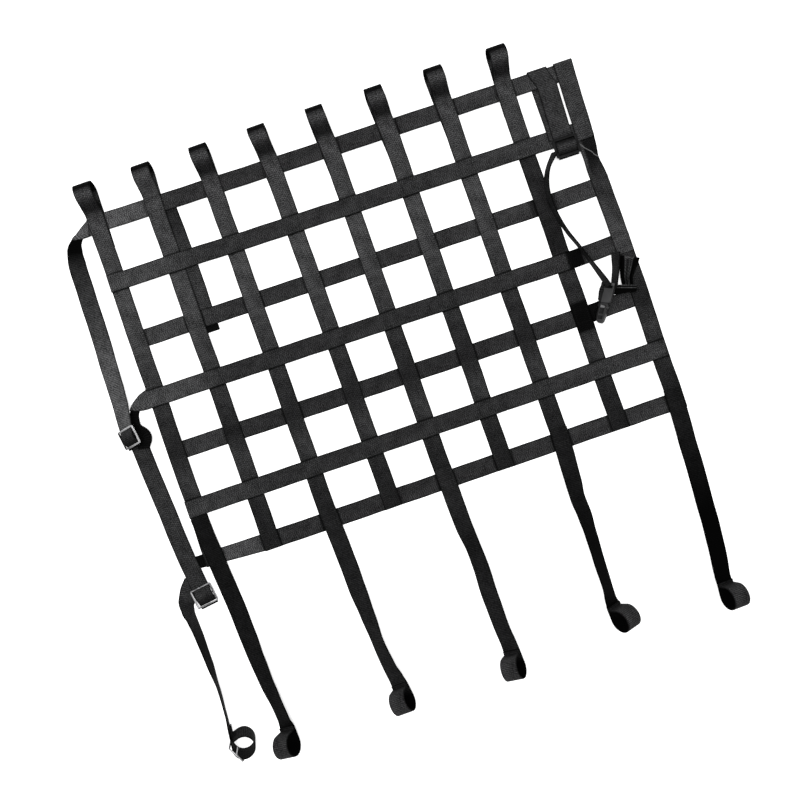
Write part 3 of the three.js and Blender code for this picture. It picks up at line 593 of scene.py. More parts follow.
# Edge column: two lengths at the right edge. The upper one is folded over row 1 and hangs in front as a flap,
# runs down behind rows 1 and 2 and is sewn down over row 4. The lower one starts behind row 4.
EDGE = len(COLUMNS) - 1
FLAP_END = -106
FLAP_ASKEW = -4
FLAP_FOLD_WIDTH = 27.4
FLAP_FOLD_ASIDE = -0.1
EDGE_FOLD = 10.5
FOLD_STEPS = 14
ROUTE_STEPS = 10
EDGE_LOWER_START = 254
CURL_START = -125
CURL_END = -172
EDGE_PALE = -262
CURL_RIDGE = -123
CURL_SLANT = 12
BEND = namedtuple("BEND", "x y tip raised wide", defaults=(0, 0, WEB_WIDTH))
EDGE_BEHIND = [
    (722, -14), (721.5, -70), (720, -110), (717.3, -136, -18), (719.5, -163, 0, LAYER),
    (720.5, -196, 0, LAYER), (721.5, -252, 0, 2 * LAYER), (722, -283, 0, 2 * LAYER),
]


# Bends hold x, y, the tip on to one edge in degrees, the height over the table, and the width
def route_stations(bends):
    bends = [BEND(*bend) for bend in bends]
    spots = [Vector((bend.x, bend.y, 0)) for bend in bends]
    spots = [2 * spots[0] - spots[1], *spots, 2 * spots[-1] - spots[-2]]
    stations = []
    for k in range((len(bends) - 1) * ROUTE_STEPS + 1):
        span = min(k // ROUTE_STEPS, len(bends) - 2)
        share = k / ROUTE_STEPS - span
        first, last = bends[span], bends[span + 1]
        start, end = spots[span + 1], spots[span + 2]
        leave = (end - spots[span]) / 2
        arrive = (spots[span + 3] - start) / 2
        bow = leave + arrive - 2 * (end - start)
        turn = 3 * (end - start) - 2 * leave - arrive
        middle = start + share * leave + share ** 2 * turn + share ** 3 * bow
        along = (leave + 2 * share * turn + 3 * share ** 2 * bow).normalized()
        eased = smooth(share)
        tip = radians(lerp(first.tip, last.tip, eased))
        width = lerp(first.wide, last.wide, eased)
        across = Vector((-along.y * cos(tip), along.x * cos(tip), sin(tip)))
        rest = width / 2 * abs(sin(tip)) + WEB_THICK / 2 * abs(cos(tip))
        middle.z = rest + lerp(first.raised, last.raised, eased)
        stations.append(STATION(middle, across, width, along))
    return stations


flap = [(FLAP_END, middle_of(2))]
for angle in reversed(half_turn(FOLD_STEPS)):
    flap.append((EDGE_FOLD + LAYER * cos(angle), middle_of(1) + LAYER * sin(angle)))
flap_end, *flap_fold = column_stations(EDGE, flap)
stations = [flap_end._replace(middle=flap_end.middle + Vector((FLAP_ASKEW, 0, 0)))]
for station in flap_fold:
    spread = station.middle + Vector((FLAP_FOLD_ASIDE, 0, 0))
    stations.append(station._replace(middle=spread, width=FLAP_FOLD_WIDTH))
stations += route_stations(EDGE_BEHIND)


FLAP_TONE = 0.4
EDGE_TONES = (0.26, 0.28, 0.5)
CURL_EDGE = -0.6
CURL_TONES = (0.65, 0.08, 0.05)


# Below the flap the webbing is in its shade, and its curled left edge catches the light
def edge_tone(share, middle, aside, upper):
    curl_foot, below_curl, pale = EDGE_TONES
    if middle.z > middle_of(1) and middle.y > FLAP_END - 1:
        return FLAP_TONE
    if middle.y < CURL_END:
        return lerp(below_curl, pale, smooth(min((CURL_END - middle.y) / (CURL_END - EDGE_PALE), 1)))
    lit, above_ridge, under_ridge = CURL_TONES
    curled = above_ridge if middle.y > CURL_RIDGE - CURL_SLANT * aside else under_ridge
    curled = lit if aside < CURL_EDGE else curled
    down = (CURL_START - middle.y) / (CURL_START - CURL_END)
    return lerp(curled, curl_foot, smooth(min(max(down, 0), 1)))


tape_piece("column_9_upper", stations, edge_tone, "folded")

runs = [RUN(EDGE_LOWER_START, -row_height(3, NET_WIDTH) + CROSSING, 0)]
runs += [crossing_run(EDGE, r) for r in (4, 5, 6)]
runs[-1] = runs[-1]._replace(end=runs[-1].end - CROSSING + WEB_WIDTH / 2)
stations = column_stations(EDGE, [(-down, z) for down, z in eased_profile(runs)])
tape_piece("column_9_lower", stations, column_tone)

# Back strap: a darker length that lies behind rows 1 to 3 beside column 2. Its end is turned up and sewn
# as a hem.
BACK_STRAP = [
    (104, SHORT_TAIL_END - LAYER_GAP), (107, -68), (108.5, -130), (108.5, -200),
]
HEM_LENGTH = 7
HEM_STEPS = 10


def upward(station):
    return station.along.cross(station.across).normalized()


def end_stations(last, profile):
    up = upward(last)
    return [
        STATION(last.middle + last.along * distance + up * height, last.across, last.width)
        for distance, height in profile
    ]


stations = route_stations(BACK_STRAP)
hem = []
for angle in half_turn(HEM_STEPS)[1:]:
    hem.append((LAYER / 2 * cos(angle), LAYER / 2 * (1 + sin(angle))))
hem.append((-HEM_LENGTH, LAYER))
strap = stations + end_stations(stations[-1], hem)
tone = graded((0, 0.1), (0.35, 0.3), (0.85, 0.34), (0.93, 0.02), (1, 0.02))
tape_piece("back_strap", strap, tone, "folded", slot="dark_webbing")

# Drop straps: five darker ribbed lengths sewn over row 7. Each runs down to an eye that is folded at its end
# and sewn back on itself, and the webbing tips on to one edge as it nears the eye.
OVER_ROW_7 = 2 * LAYER
DROP_EYE = EYE(16, 17, 1.5, 1.5)
DROP_NECK = 2
LANDING_END = -2
DROP_STRAPS = [
    [
        (5, -453.5, 0, LAYER), (9, -501, 0, OVER_ROW_7), (12, -538, 0, OVER_ROW_7), (15.5, -590),
        (18.5, -640, 4), (21, -679, 16), (24.5, -718, 26), (29, -752, 36), (31, -772, 36),
        (32, -787, 24),
    ],
    [
        (187, -500, 0, OVER_ROW_7), (189.5, -536, 0, OVER_ROW_7), (191.5, -586), (193, -626, 8),
        (195.5, -666, 28), (197.4, -706, 42), (201.6, -746, 36), (205.4, -765, 28), (207.7, -779.3, 20),
    ],
    [
        (367, -498, 0, OVER_ROW_7), (368.5, -534, 0, OVER_ROW_7), (370, -582, 14), (373.5, -624, 32),
        (375, -654, 28), (374.5, -694, 24), (376, -746, 32), (378, -769, 30), (378.8, -784, 26),
    ],
    [
        (546, -496, 0, OVER_ROW_7), (545, -532, 0, OVER_ROW_7), (543.5, -574, -10), (541.5, -600, -24),
        (543, -628, -28), (542.5, -656, -38), (541.5, -697, -42), (541, -736, -46), (539.8, -757, -40),
        (540.5, -767.5, -30),
    ],
    [
        (723, -494, 0, OVER_ROW_7), (722.5, -530, 0, OVER_ROW_7), (721, -578), (720, -620),
        (717.5, -660, -2), (715.6, -700, -3), (710.9, -750, -6), (707.4, -775, -14), (706.6, -787, -16),
    ],
]


def eyed_strap(bends, eye, neck, landing, lean=0):
    stations = route_stations(bends)
    last = stations[-1]
    leaning = last._replace(across=(last.across - last.along * lean).normalized())
    ring = [(distance + neck, height) for distance, height in eye_profile(eye, 0, LAYER)]
    return last, stations + end_stations(leaning, ring + [(landing, LAYER)])


# Painted light and shade on each drop strap: the tones of its front at its top, in its middle and above the
# eye. The eye is painted black inside as shade, and its outside is painted lighter where light falls on it.
DROP_TONES = [
    (0.05, 0.06, 0.07), (0.12, 0.11, 0.12), (0.15, 0.07, 0.11), (0.09, 0.05, 0.01), (0.08, 0.03, 0.0),
]
EYE_START = 0.72
ribbed_strap = partial(tape_piece, finish=ribbed_webbing, slot="dark_webbing")
outside_tone = graded((0, 0.0), (EYE_START, 0.0), (0.77, 0.02), (0.8, 0.28), (0.95, 0.3), (1, 0.06))
for k, bends in enumerate(DROP_STRAPS):
    high, middle, low = DROP_TONES[k]
    front_tone = graded(
        (0, high), (0.12, high), (0.3, middle), (0.45, low), (EYE_START, low), (0.76, 0), (1, 0)
    )

    def drop_tone(share, middle, aside, upper):
        return (front_tone if upper else outside_tone)(share, middle, aside, upper)

    _, strap = eyed_strap(bends, DROP_EYE, DROP_NECK, LANDING_END)
    ribbed_strap(f"drop_strap_{k + 1}", strap, drop_tone, "folded")

# Side straps and wire slides: the adjusters at the left edge. Each slide is a bright plated wire frame with
# a middle bar, and the webbing goes under its first bar, over the middle one and under the last.
SLIDE = namedtuple("SLIDE", "clear pitch bar rail thick corner wave rounding")
WIRE_SLIDE = SLIDE(28, 13.3, 2.4, 2.4, 1.8, 2.5, 2.5, 0.85)
WINDOW_CORNER = 0.8
ROUND_ABOVE = radians(30)
SMOOTH_BELOW = radians(40)
UPRIGHT = 0.9
WAVE_STEPS = 40
SLIDE_LEAD = 4
SLIDE_CLEAR = 1
SIDE_UPPER = [
    (-27, -6, 0, 0, 9), (-37, -12, 0, 0, 15), (-45, -26, 0, 0, 22), (-48, -48), (-48.5, -80),
    (-49, -150), (-50.5, -195, 2), (-51, -232, 8), (-51, -256, 14, 1), (-52, -280, 22, 3),
    (-52.5, -297, 28, 4), (-50.5, -311, 28, 4),
]
SIDE_MID = [
    (-25, -269, 0, 0, 9), (-36.5, -279, 0, 0, 13), (-40.5, -298, 6, LAYER, 16),
    (-35, -317, 8, LAYER, 27), (-39, -333, 4, LAYER, 17),
]
SIDE_LOWER = [
    (-45, -314), (-43.5, -345), (-38.5, -410), (-32.5, -490, 0, LAYER), (-27, -538, 0, LAYER),
    (-23, -565, 0, LAYER),
]


def slide_wave(slide, lead):
    profile = []
    for step in range(WAVE_STEPS + 1):
        distance = lerp(-slide.pitch, slide.pitch, step / WAVE_STEPS)
        profile.append((distance, slide.wave * cos(pi * distance / slide.pitch)))
    profile.append((slide.pitch + lead, -slide.wave))
    return profile


def threaded_strap(bends, aside):
    stations = route_stations(bends)
    last = stations[-1]
    place = last._replace(middle=last.middle + upward(last) * WIRE_SLIDE.wave)
    reach = WIRE_SLIDE.pitch + SLIDE_CLEAR
    before = [station for station in stations if (station.middle - last.middle).length > reach]
    shifted = place._replace(middle=place.middle + place.across * aside)
    return place, before + end_stations(shifted, slide_wave(WIRE_SLIDE, SLIDE_LEAD))


def object_noise(tree, scale, detail):
    return noise(tree, add_node(tree, "ShaderNodeTexCoord").outputs["Object"], scale, detail)


# Plated wire: an attribute of painted reflection goes from dark to bright on each bar, and the plating is a
# little cloudy
def plated_finish():
    finish, tree = new_finish("plated_wire")
    cloud = object_noise(tree, 260.0, 3.0)
    drift = maths(tree, "MULTIPLY_ADD", cloud, 0.3, -0.15)
    bright = maths(tree, "ADD", attribute(tree, "reflection"), drift, clamp=True)
    colour = mixed(tree, bright, (0.018, 0.018, 0.019, 1), (0.8, 0.8, 0.81, 1))
    surface(tree, colour, maths(tree, "MULTIPLY_ADD", cloud, 0.3, 0.2), {"Metallic": 1.0})
    return finish


plated_wire = plated_finish()


def block(size, at=(0, 0, 0)):
    bpy.ops.object.select_all(action="DESELECT")
    bpy.ops.mesh.primitive_cube_add(size=1, location=Vector(at) * MM)
    piece = bpy.context.object
    piece.scale = Vector(size) * MM
    bpy.ops.object.transform_apply(location=True, rotation=False, scale=True)
    return piece


def choose(piece):
    bpy.ops.object.select_all(action="DESELECT")
    piece.select_set(True)
    bpy.context.view_layer.objects.active = piece


def round_corners(piece, width, segments):
    bpy.ops.object.mode_set(mode="EDIT")
    bpy.ops.mesh.select_all(action="DESELECT")
    mesh = bmesh.from_edit_mesh(piece.data)
    bpy.context.tool_settings.mesh_select_mode = (False, True, False)
    for edge in mesh.edges:
        run = edge.verts[0].co - edge.verts[1].co
        edge.select_set(abs(run.z) > UPRIGHT * run.length)
    bmesh.update_edit_mesh(piece.data)
    bpy.ops.mesh.bevel(offset=width * MM, segments=segments, affect="EDGES")
    bpy.ops.object.mode_set(mode="OBJECT")


def cut(piece, cutter):
    hole = piece.modifiers.new("hole", "BOOLEAN")
    hole.operation = "DIFFERENCE"
    hole.solver = "EXACT"
    hole.object = cutter
    choose(piece)
    bpy.ops.object.modifier_apply(modifier=hole.name)
    bpy.data.objects.remove(cutter)


def soften(piece, width, segments):
    rounding = piece.modifiers.new("rounding", "BEVEL")
    rounding.width = width * MM
    rounding.segments = segments
    rounding.limit_method = "ANGLE"
    rounding.angle_limit = ROUND_ABOVE
    choose(piece)
    bpy.ops.object.modifier_apply(modifier=rounding.name)
    bpy.ops.object.shade_smooth_by_angle(angle=SMOOTH_BELOW)


def settle(piece, node, basis, finish):
    choose(piece)
    piece.matrix_world = basis
    bpy.ops.object.transform_apply(location=True, rotation=True, scale=True)
    piece.name = "fitting_" + node
    piece.data.name = piece.name
    piece.data.materials.clear()
    piece.data.materials.append(finish)
    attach(piece, "root")
    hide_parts(node)


def basis_at(middle, across, along):
    up = along.cross(across).normalized()
    turn = Matrix((across, -along, up)).transposed().to_4x4()
    return Matrix.Translation(placed(middle)) @ turn


# Painted reflection on each bar of a slide, from dark to bright: top, middle, bottom, left and right
POLISH = namedtuple("POLISH", "top middle bottom left right")


def paint_reflections(piece, slide, reflection):
    values = []
    for vert in piece.data.vertices:
        if abs(vert.co.x) > slide.clear / 2 * MM:
            values.append(reflection.right if vert.co.x > 0 else reflection.left)
        elif abs(vert.co.y) < slide.pitch / 2 * MM:
            values.append(reflection.middle)
        else:
            values.append(reflection.top if vert.co.y > 0 else reflection.bottom)
    paint(piece.data, "reflection", values)


def slide_piece(node, slide, place, finish, reflection=None):
    piece = block((slide.clear + 2 * slide.rail, 2 * slide.pitch + slide.bar, slide.thick))
    round_corners(piece, slide.corner, segments=6)
    for side in (-1, 1):
        window = (slide.clear, slide.pitch - slide.bar, 3 * slide.thick)
        cutter = block(window, (0, side * slide.pitch / 2, 0))
        round_corners(cutter, WINDOW_CORNER, segments=3)
        cut(piece, cutter)
    soften(piece, slide.rounding, segments=4)
    if reflection:
        paint_reflections(piece, slide, reflection)
    settle(piece, node, basis_at(place.middle, place.across, place.along), finish)


def wire_slide(node, place, *reflection):
    slide_piece(node, WIRE_SLIDE, place, plated_wire, POLISH(*reflection))


place, strap = threaded_strap(SIDE_UPPER, aside=-0.8)
# Painted light and shade along the upper side strap: black at its top where it turns away from the light,
# lighter down its length, and dark where it goes through the slide
tone = graded(
    (0, 0), (0.09, 0), (0.13, 0.1), (0.2, 0.22), (0.45, 0.45), (0.6, 0.74), (0.88, 0.84), (0.91, 0.3),
    (0.95, 0.15), (1, 0.02),
)
ribbed_strap("side_strap_upper", strap, tone)
wire_slide("slide_1", place, 0.75, 0.3, 0.7, 0.02, 0.75)

ribbed_strap("side_strap_mid", route_stations(SIDE_MID), graded((0, 0.01), (1, 0.03)))

place, strap = threaded_strap(SIDE_LOWER, aside=0.6)
# Painted light and shade along the lower side strap: darker at its start and darkest where it goes under the
# slide's last bar
tone = graded(
    (0, 0.16), (0.1, 0.22), (0.3, 0.3), (0.85, 0.24), (0.92, 0.28), (0.95, 0.16), (0.98, 0.06), (1, 0.02)
)
tape_piece("side_strap_lower", strap, tone)
wire_slide("slide_2", place, 0.0, 0.1, 0.5, 0.25, 0.06)

# Free tail: the loose end of the side strap. It comes from under the lower strap, twists on to its edge and
# ends in a sewn eye that stands on edge, with a third wire slide hanging on it.
TAIL_RAISE = 2.9
TAIL = [
    (-33, -540), (-45.5, -556), (-50, -576, -62), (-48.4, -592, -75), (-46.3, -614, -79),
    (-44.3, -658, -86), (-43.3, -697, -99), (-44.1, -734, -101, TAIL_RAISE),
    (-46.5, -759.5, -98, TAIL_RAISE),
]
TAIL_EYE = EYE(16, 17, 5.5, 3)
TAIL_NECK = 7
TAIL_LEAN = 0.25
TAIL_SLIDE_ANGLE = radians(-56)
TAIL_SLIDE_OUT = 14.25
TAIL_SLIDE_LIFT = 0.9
last, strap = eyed_strap(TAIL, TAIL_EYE, TAIL_NECK, 0, TAIL_LEAN)
# Painted light and shade along the tail: black where it stands on its edge, and lighter on the eye
tone = graded((0, 0.24), (0.17, 0.2), (0.28, 0.03), (0.7, 0.03), (0.76, 0.15), (0.95, 0.18), (1, 0.05))
ribbed_strap("side_tail", strap, tone, "folded")
up = upward(last)
down = cos(TAIL_SLIDE_ANGLE)
out = sin(TAIL_SLIDE_ANGLE)
middle = last.middle + last.along * (TAIL_NECK + TAIL_EYE.reach + TAIL_SLIDE_OUT * down)
middle += up * (TAIL_EYE.radius + TAIL_SLIDE_OUT * out)
middle.z = WIRE_SLIDE.clear / 2 + WIRE_SLIDE.rail + TAIL_SLIDE_LIFT
place = last._replace(middle=middle, along=up * down - last.along * out)
wire_slide("tail_slide", place, 0.3, 0.3, 0.3, 0.35, 0.35)

# Corner strap: a ribbed strap folded over row 1 at the right. It lies behind the row and in front of rows 1
# and 2, and its front goes through a black plastic slide.
CORNER_WIDTH = 29
CORNER_BACK = 681.2
CORNER_TOP = 682.2
CORNER_SHOULDER = 689.5
CORNER_FRONT = 687.2
CORNER_FOLD = 10.8
CORNER_SLIDE_DOWN = 109
CORNER_LEAD = 3
CORNER_SPREAD = 1
CORNER_BACK_END = 94
SLANT_STEPS = 8
PLASTIC_SLIDE = SLIDE(29.8, 12.5, 3, 3.7, 2.6, 3, 3.5, 0.6)


# Moulded plastic: black with a fine grain, and the sheen attribute turns it greyer where light catches it
def moulded_finish():
    finish, tree = new_finish("moulded_plastic")
    grain = object_noise(tree, 1800.0, 2.0)
    cloud = object_noise(tree, 120.0, 3.0)
    tint = mixed(tree, cloud, (0.003, 0.003, 0.003, 1), (0.009, 0.009, 0.0095, 1))
    relief = {"Strength": 0.12, "Distance": 0.0002, "Height": grain}
    normal = add_node(tree, "ShaderNodeBump", relief).outputs["Normal"]
    colour = mixed(tree, attribute(tree, "sheen"), tint, (0.13, 0.13, 0.132, 1))
    roughness = maths(tree, "MULTIPLY_ADD", cloud, 0.2, 0.3)
    surface(tree, colour, roughness, {"Normal": normal, "Specular IOR Level": 0.06})
    return finish


moulded_plastic = moulded_finish()
row_one_edge = -row_height(0, CORNER_TOP) + CROSSING
row_two_edge = -row_height(1, CORNER_TOP) - CROSSING
path = []
back = eased_profile([RUN(row_one_edge, row_one_edge, 0), RUN(row_two_edge, CORNER_BACK_END, 2)])
for down, z in reversed(back):
    path.append((CORNER_BACK, -down, z))
for angle in half_turn(FOLD_STEPS):
    path.append((CORNER_TOP, CORNER_FOLD + LAYER * cos(angle), middle_of(1) + LAYER * sin(angle)))
for step in range(1, SLANT_STEPS):
    share = step / SLANT_STEPS
    x = lerp(CORNER_TOP, CORNER_SHOULDER, smooth(share))
    path.append((x, lerp(CORNER_FOLD, -row_one_edge, share), middle_of(2)))
for down, z in eased_profile([RUN(row_one_edge, row_one_edge, 2), RUN(row_two_edge, row_two_edge, 3)]):
    share = (down - row_one_edge) / (row_two_edge - row_one_edge)
    path.append((lerp(CORNER_SHOULDER, CORNER_FRONT, share), -down, z))
place = STATION(
    Vector((CORNER_FRONT, -CORNER_SLIDE_DOWN, middle_of(3) + PLASTIC_SLIDE.wave)),
    Vector((1, 0, 0)),
    CORNER_WIDTH + CORNER_SPREAD,
    Vector((0, -1, 0)),
)
strap = [STATION(Vector(point), place.across, CORNER_WIDTH) for point in path]
strap += end_stations(place, slide_wave(PLASTIC_SLIDE, CORNER_LEAD))
# Painted light and shade on the corner strap where it goes through the slide: dark under the first and last
# bars, and a painted highlight where it bulges over the middle bar
tone = graded(
    (0, 0.3), (0.5, 0.34), (0.84, 0.36), (0.876, 0.03), (0.905, 0.2), (0.93, 0.4), (0.955, 0.2), (0.98, 0.02),
    (1, 0.02),
)
tape_piece("corner_strap", strap, tone, "folded", ribbed_webbing, steady=True)
slide_piece("corner_slide", PLASTIC_SLIDE, place, moulded_plastic)

# Tether and anchor strap: narrow webbing that stands on its edge. The tether runs from beside the corner
# slide to the buckle, and the anchor strap holds the buckle to the edge column.
NARROW_RAISE = 3.8
NARROW_WIDTH = 19
TETHER_END_RAISE = 12.4
NARROW_STRAPS = {
    "tether": [
        (667.2, -112.5, 70), (648.5, -135, 79), (639.5, -163, 83), (640, -194, 87), (647.5, -227, 92),
        (660.5, -262, 94), (676.3, -316.5, 82, TETHER_END_RAISE), (678, -322.5, 82, TETHER_END_RAISE),
    ],
    "anchor_strap": [(705.5, -279, 66), (698, -301, 74), (690, -319.5, 76), (686.5, -327, 76)],
}


def narrow(x, y, tip, raised=NARROW_RAISE):
    return BEND(x, y, tip, raised, NARROW_WIDTH)


for name, turns in NARROW_STRAPS.items():
    strap = route_stations([narrow(*turn) for turn in turns])
    tape_piece(name, strap, graded((0, 0.18), (1, 0.15)))

# Side-release buckle: two black plastic mouldings that lie tipped across row 5. The latch half has a slot for
# the webbing, and the body half has two finger notches and a bar at its end.
BUCKLE_TOP = Vector((682.6, -318.2, 10.9))
BUCKLE_END = Vector((651.4, -369.1, 10.9))
BUCKLE_TIP = radians(32)
BUCKLE_THICK = 8.5
BUCKLE_ROUNDING = 0.8
BUCKLE_FACE = BUCKLE_THICK / 2 - 0.9
SIDEWAYS = 0.7
UPWARDS = 0.5
ON_LINE = 0.01
SHADED_SIDE = -4
LATCH = [(0, 20), (4, 20), (26, 20), (30, 13)]
RECESS = namedtuple("RECESS", "start end wide deep aside", defaults=(0,))
LATCH_SLOT = RECESS(4, 8, 15, BUCKLE_THICK - 1.5)
LATCH_NOTCH = RECESS(11, 15, 6, 3, -7)
BODY = [(30.3, 13), (33.3, 15.5), (35.3, 15.5), (37.3, 11.5), (44.3, 11.5), (46.3, 13)]
BODY_END = [(3, 10), (0, 5)]
TONGUE = RECESS(33.4, 37.4, 6.5, 0.5)
BODY_RECESSES = [TONGUE, RECESS(38.6, 46.4, 6, 2), RECESS(49.4, 54.4, 6.5, 1.6)]
TONGUE_BELOW = BUCKLE_THICK / 2 - 0.3
# Strengths of the painted highlights on the faces of the buckle
LATCH_EDGE, LATCH_RIM, LATCH_FACE = 0.1, 0.42, 0.17
BODY_EDGE, BODY_TONGUE, BODY_FACE = 0.06, 0.8, 0.09
buckle_along = (BUCKLE_END - BUCKLE_TOP).normalized()
buckle_across = Vector((-buckle_along.y, buckle_along.x, 0)) * cos(BUCKLE_TIP)
buckle_across.z = sin(BUCKLE_TIP)
buckle_basis = basis_at(BUCKLE_TOP, buckle_across, buckle_along)
buckle_length = (BUCKLE_END - BUCKLE_TOP).length


# Outlines hold the distance down the buckle and the width there
def moulding(outline):
    top, low = outline[0][0], outline[-1][0]
    piece = block((1, low - top, BUCKLE_THICK), (0, -(top + low) / 2, 0))
    bpy.ops.object.mode_set(mode="EDIT")
    for down, wide in outline[1:-1]:
        bpy.ops.mesh.select_all(action="SELECT")
        bpy.ops.mesh.bisect(plane_co=(0, -down * MM, 0), plane_no=(0, 1, 0))
    for down, wide in outline:
        bpy.context.tool_settings.mesh_select_mode = (True, False, False)
        bpy.ops.mesh.select_all(action="DESELECT")
        mesh = bmesh.from_edit_mesh(piece.data)
        for vert in mesh.verts:
            vert.select_set(abs(vert.co.y + down * MM) < ON_LINE * MM)
        bmesh.update_edit_mesh(piece.data)
        bpy.ops.transform.resize(value=(wide, 1, 1), center_override=(0, 0, 0))
    bpy.ops.mesh.select_all(action="SELECT")
    bpy.ops.mesh.bisect(plane_co=(SHADED_SIDE * MM, 0, 0), plane_no=(1, 0, 0))
    bpy.ops.object.mode_set(mode="OBJECT")
    return piece


def shine(piece, sheen):
    values = [sheen(face.center / MM, face.normal) for face in piece.data.polygons]
    paint(piece.data, "sheen", values, "FACE")


# Painted highlights on the latch: its outer edge is bright and its face greyer, darkest on the shaded side
def latch_sheen(at, facing):
    if facing.x > SIDEWAYS:
        return LATCH_EDGE
    if facing.z < UPWARDS or at.z < BUCKLE_FACE or at.x < SHADED_SIDE:
        return 0.0
    return LATCH_RIM if at.y > -LATCH_SLOT.start else LATCH_FACE


# Painted highlights on the body: it is darker, and the tongue in its middle holds the brightest painted
# highlight of the buckle
def body_sheen(at, facing):
    if facing.z < UPWARDS:
        return BODY_EDGE if facing.x > SIDEWAYS else 0.0
    if at.z < BUCKLE_FACE:
        return 0.0
    on_tongue = abs(at.x) < TONGUE.wide / 2 and -TONGUE.end < at.y < -TONGUE.start
    if on_tongue and at.z < TONGUE_BELOW:
        return BODY_TONGUE
    return 0.0 if at.x < SHADED_SIDE else BODY_FACE


def sink(piece, recess):
    size = (recess.wide, recess.end - recess.start, 2 * recess.deep)
    cut(piece, block(size, (recess.aside, -(recess.start + recess.end) / 2, BUCKLE_THICK / 2)))


ends = [(buckle_length - before, wide) for before, wide in BODY_END]
halves = [
    ("buckle_latch", LATCH, (LATCH_SLOT, LATCH_NOTCH), latch_sheen),
    ("buckle_body", BODY + ends, BODY_RECESSES, body_sheen),
]
for name, outline, recesses, sheen in halves:
    half = moulding(outline)
    for recess in recesses:
        sink(half, recess)
    soften(half, BUCKLE_ROUNDING, segments=3)
    shine(half, sheen)
    settle(half, name, buckle_basis, moulded_plastic)

# Pleated end: the end of a webbing strap, gathered into pleats and sewn to the edge column. It fans out at
# its top and is narrow at its foot, where a band goes round it.
PLEATS = [
    (724.5, -290.4, 31, -24, 0.8, 4), (719.4, -301.4, 26.2, -22, 2.4, 4), (711, -317.6, 18, -14, 4, 5.4),
    (706.5, -340, 14, -10, 4.5, 5.8),
]
PLEAT_FOLDS = 6
PLEAT_THICK = 2
# Painted light and shade across the pleats: black at both sides, with three light streaks in the middle, and
# the middle of the top rows is lighter
PLEAT_TONES = graded(
    (0, 0), (0.24, 0), (0.33, 0.4), (0.38, 0.12), (0.48, 0.1), (0.54, 0.5), (0.58, 0.06), (0.66, 0.45),
    (0.71, 0), (1, 0),
)
PLEAT_RIM = (0.28, 0.72)
PLEAT_RIM_ROWS = 3
PLEAT_RIM_TONE = 0.55
PLEAT_FLAT = (WEB_WIDTH, 50)
PLEAT_ALONG = 24
PLEAT_ACROSS = 48
PLEAT_AROUND = 2 * PLEAT_ACROSS + 2


# Sections hold x, y, the width, the turn in degrees, the depth of the pleats, and the height over the table
def pleat_section(share):
    span = min(int(share * (len(PLEATS) - 1)), len(PLEATS) - 2)
    local = smooth(share * (len(PLEATS) - 1) - span)
    return [lerp(a, b, local) for a, b in zip(PLEATS[span], PLEATS[span + 1])]


points, places, tones = [], [], []
for row in range(PLEAT_ALONG + 1):
    x, y, wide, turn, deep, base = pleat_section(row / PLEAT_ALONG)
    turn = radians(turn)
    for k in range(PLEAT_AROUND):
        upper = k > PLEAT_ACROSS
        share = (PLEAT_AROUND - 1 - k if upper else k) / PLEAT_ACROSS
        wave = abs(share * PLEAT_FOLDS / 2 % 1 * 2 - 1)
        out = (share - 0.5) * wide
        height = base + deep * smooth(1 - wave) + upper * PLEAT_THICK
        points.append(placed((x + out * cos(turn), y + out * sin(turn), height)))
        places.append((row / PLEAT_ALONG * PLEAT_FLAT[1] * MM, (share - 0.5) * PLEAT_FLAT[0] * MM))
        rimmed = row < PLEAT_RIM_ROWS and PLEAT_RIM[0] < share < PLEAT_RIM[1]
        tones.append(PLEAT_RIM_TONE if rimmed else PLEAT_TONES(share, None, 0, True))
faces = ring_faces(range(PLEAT_ALONG + 1), PLEAT_AROUND)
last = PLEAT_ALONG * PLEAT_AROUND
for n in range(PLEAT_ACROSS):
    over = PLEAT_AROUND - 1 - n
    faces.append((n + 1, n, over, over - 1))
    faces.append((last + n, last + n + 1, last + over - 1, last + over))
pleated = cloth_piece("pleated_end", points, faces, places, tones, twill_webbing, "black_webbing")
pleated.data.polygons.foreach_set("use_smooth", [True] * len(faces))

# Keeper band: a flat loop of narrow woven tape with its ends sewn together. It goes round the foot of the
# pleats and reaches to the buckle.
KEEPER_AT = Vector((704.7, -332.2, 0))
KEEPER_WIDE = 7
KEEPER_THICK = 1.2
KEEPER_LEFT = -17.3
KEEPER_RIGHT = 14.3
KEEPER_LOW = 4.5
KEEPER_HIGH = 14
KEEPER_CORNER = 2.4
KEEPER_TURN = Matrix.Rotation(radians(-18.4), 3, "Z")
KEEPER_STEPS = 6
KEEPER_DROOP = 4.5
# The band's section: shares of its width and of its thickness, and the tone
KEEPER_SECTION = [
    (-0.75, -0.5, 0), (-0.75, 0.5, 0), (-0.22, 0.5, 0), (-0.16, 0.5, 0.45), (-0.04, 0.5, 0.45),
    (0.04, 0.5, 0), (0.26, 0.5, 0), (0.34, 0.5, 0.4), (0.5, 0.5, 0.4), (0.5, -0.5, 0.1),
]
left, right = KEEPER_LEFT + KEEPER_CORNER, KEEPER_RIGHT - KEEPER_CORNER
low, high = KEEPER_LOW + KEEPER_CORNER, KEEPER_HIGH - KEEPER_CORNER
ring = []
for quarter, (x, z) in enumerate([(left, low), (right, low), (right, high), (left, high)]):
    for step in range(KEEPER_STEPS + 1):
        angle = pi / 2 * (quarter + 2 + step / KEEPER_STEPS)
        ring.append((x + KEEPER_CORNER * cos(angle), z + KEEPER_CORNER * sin(angle), angle))
points, places, tones = [], [], []
around = 0
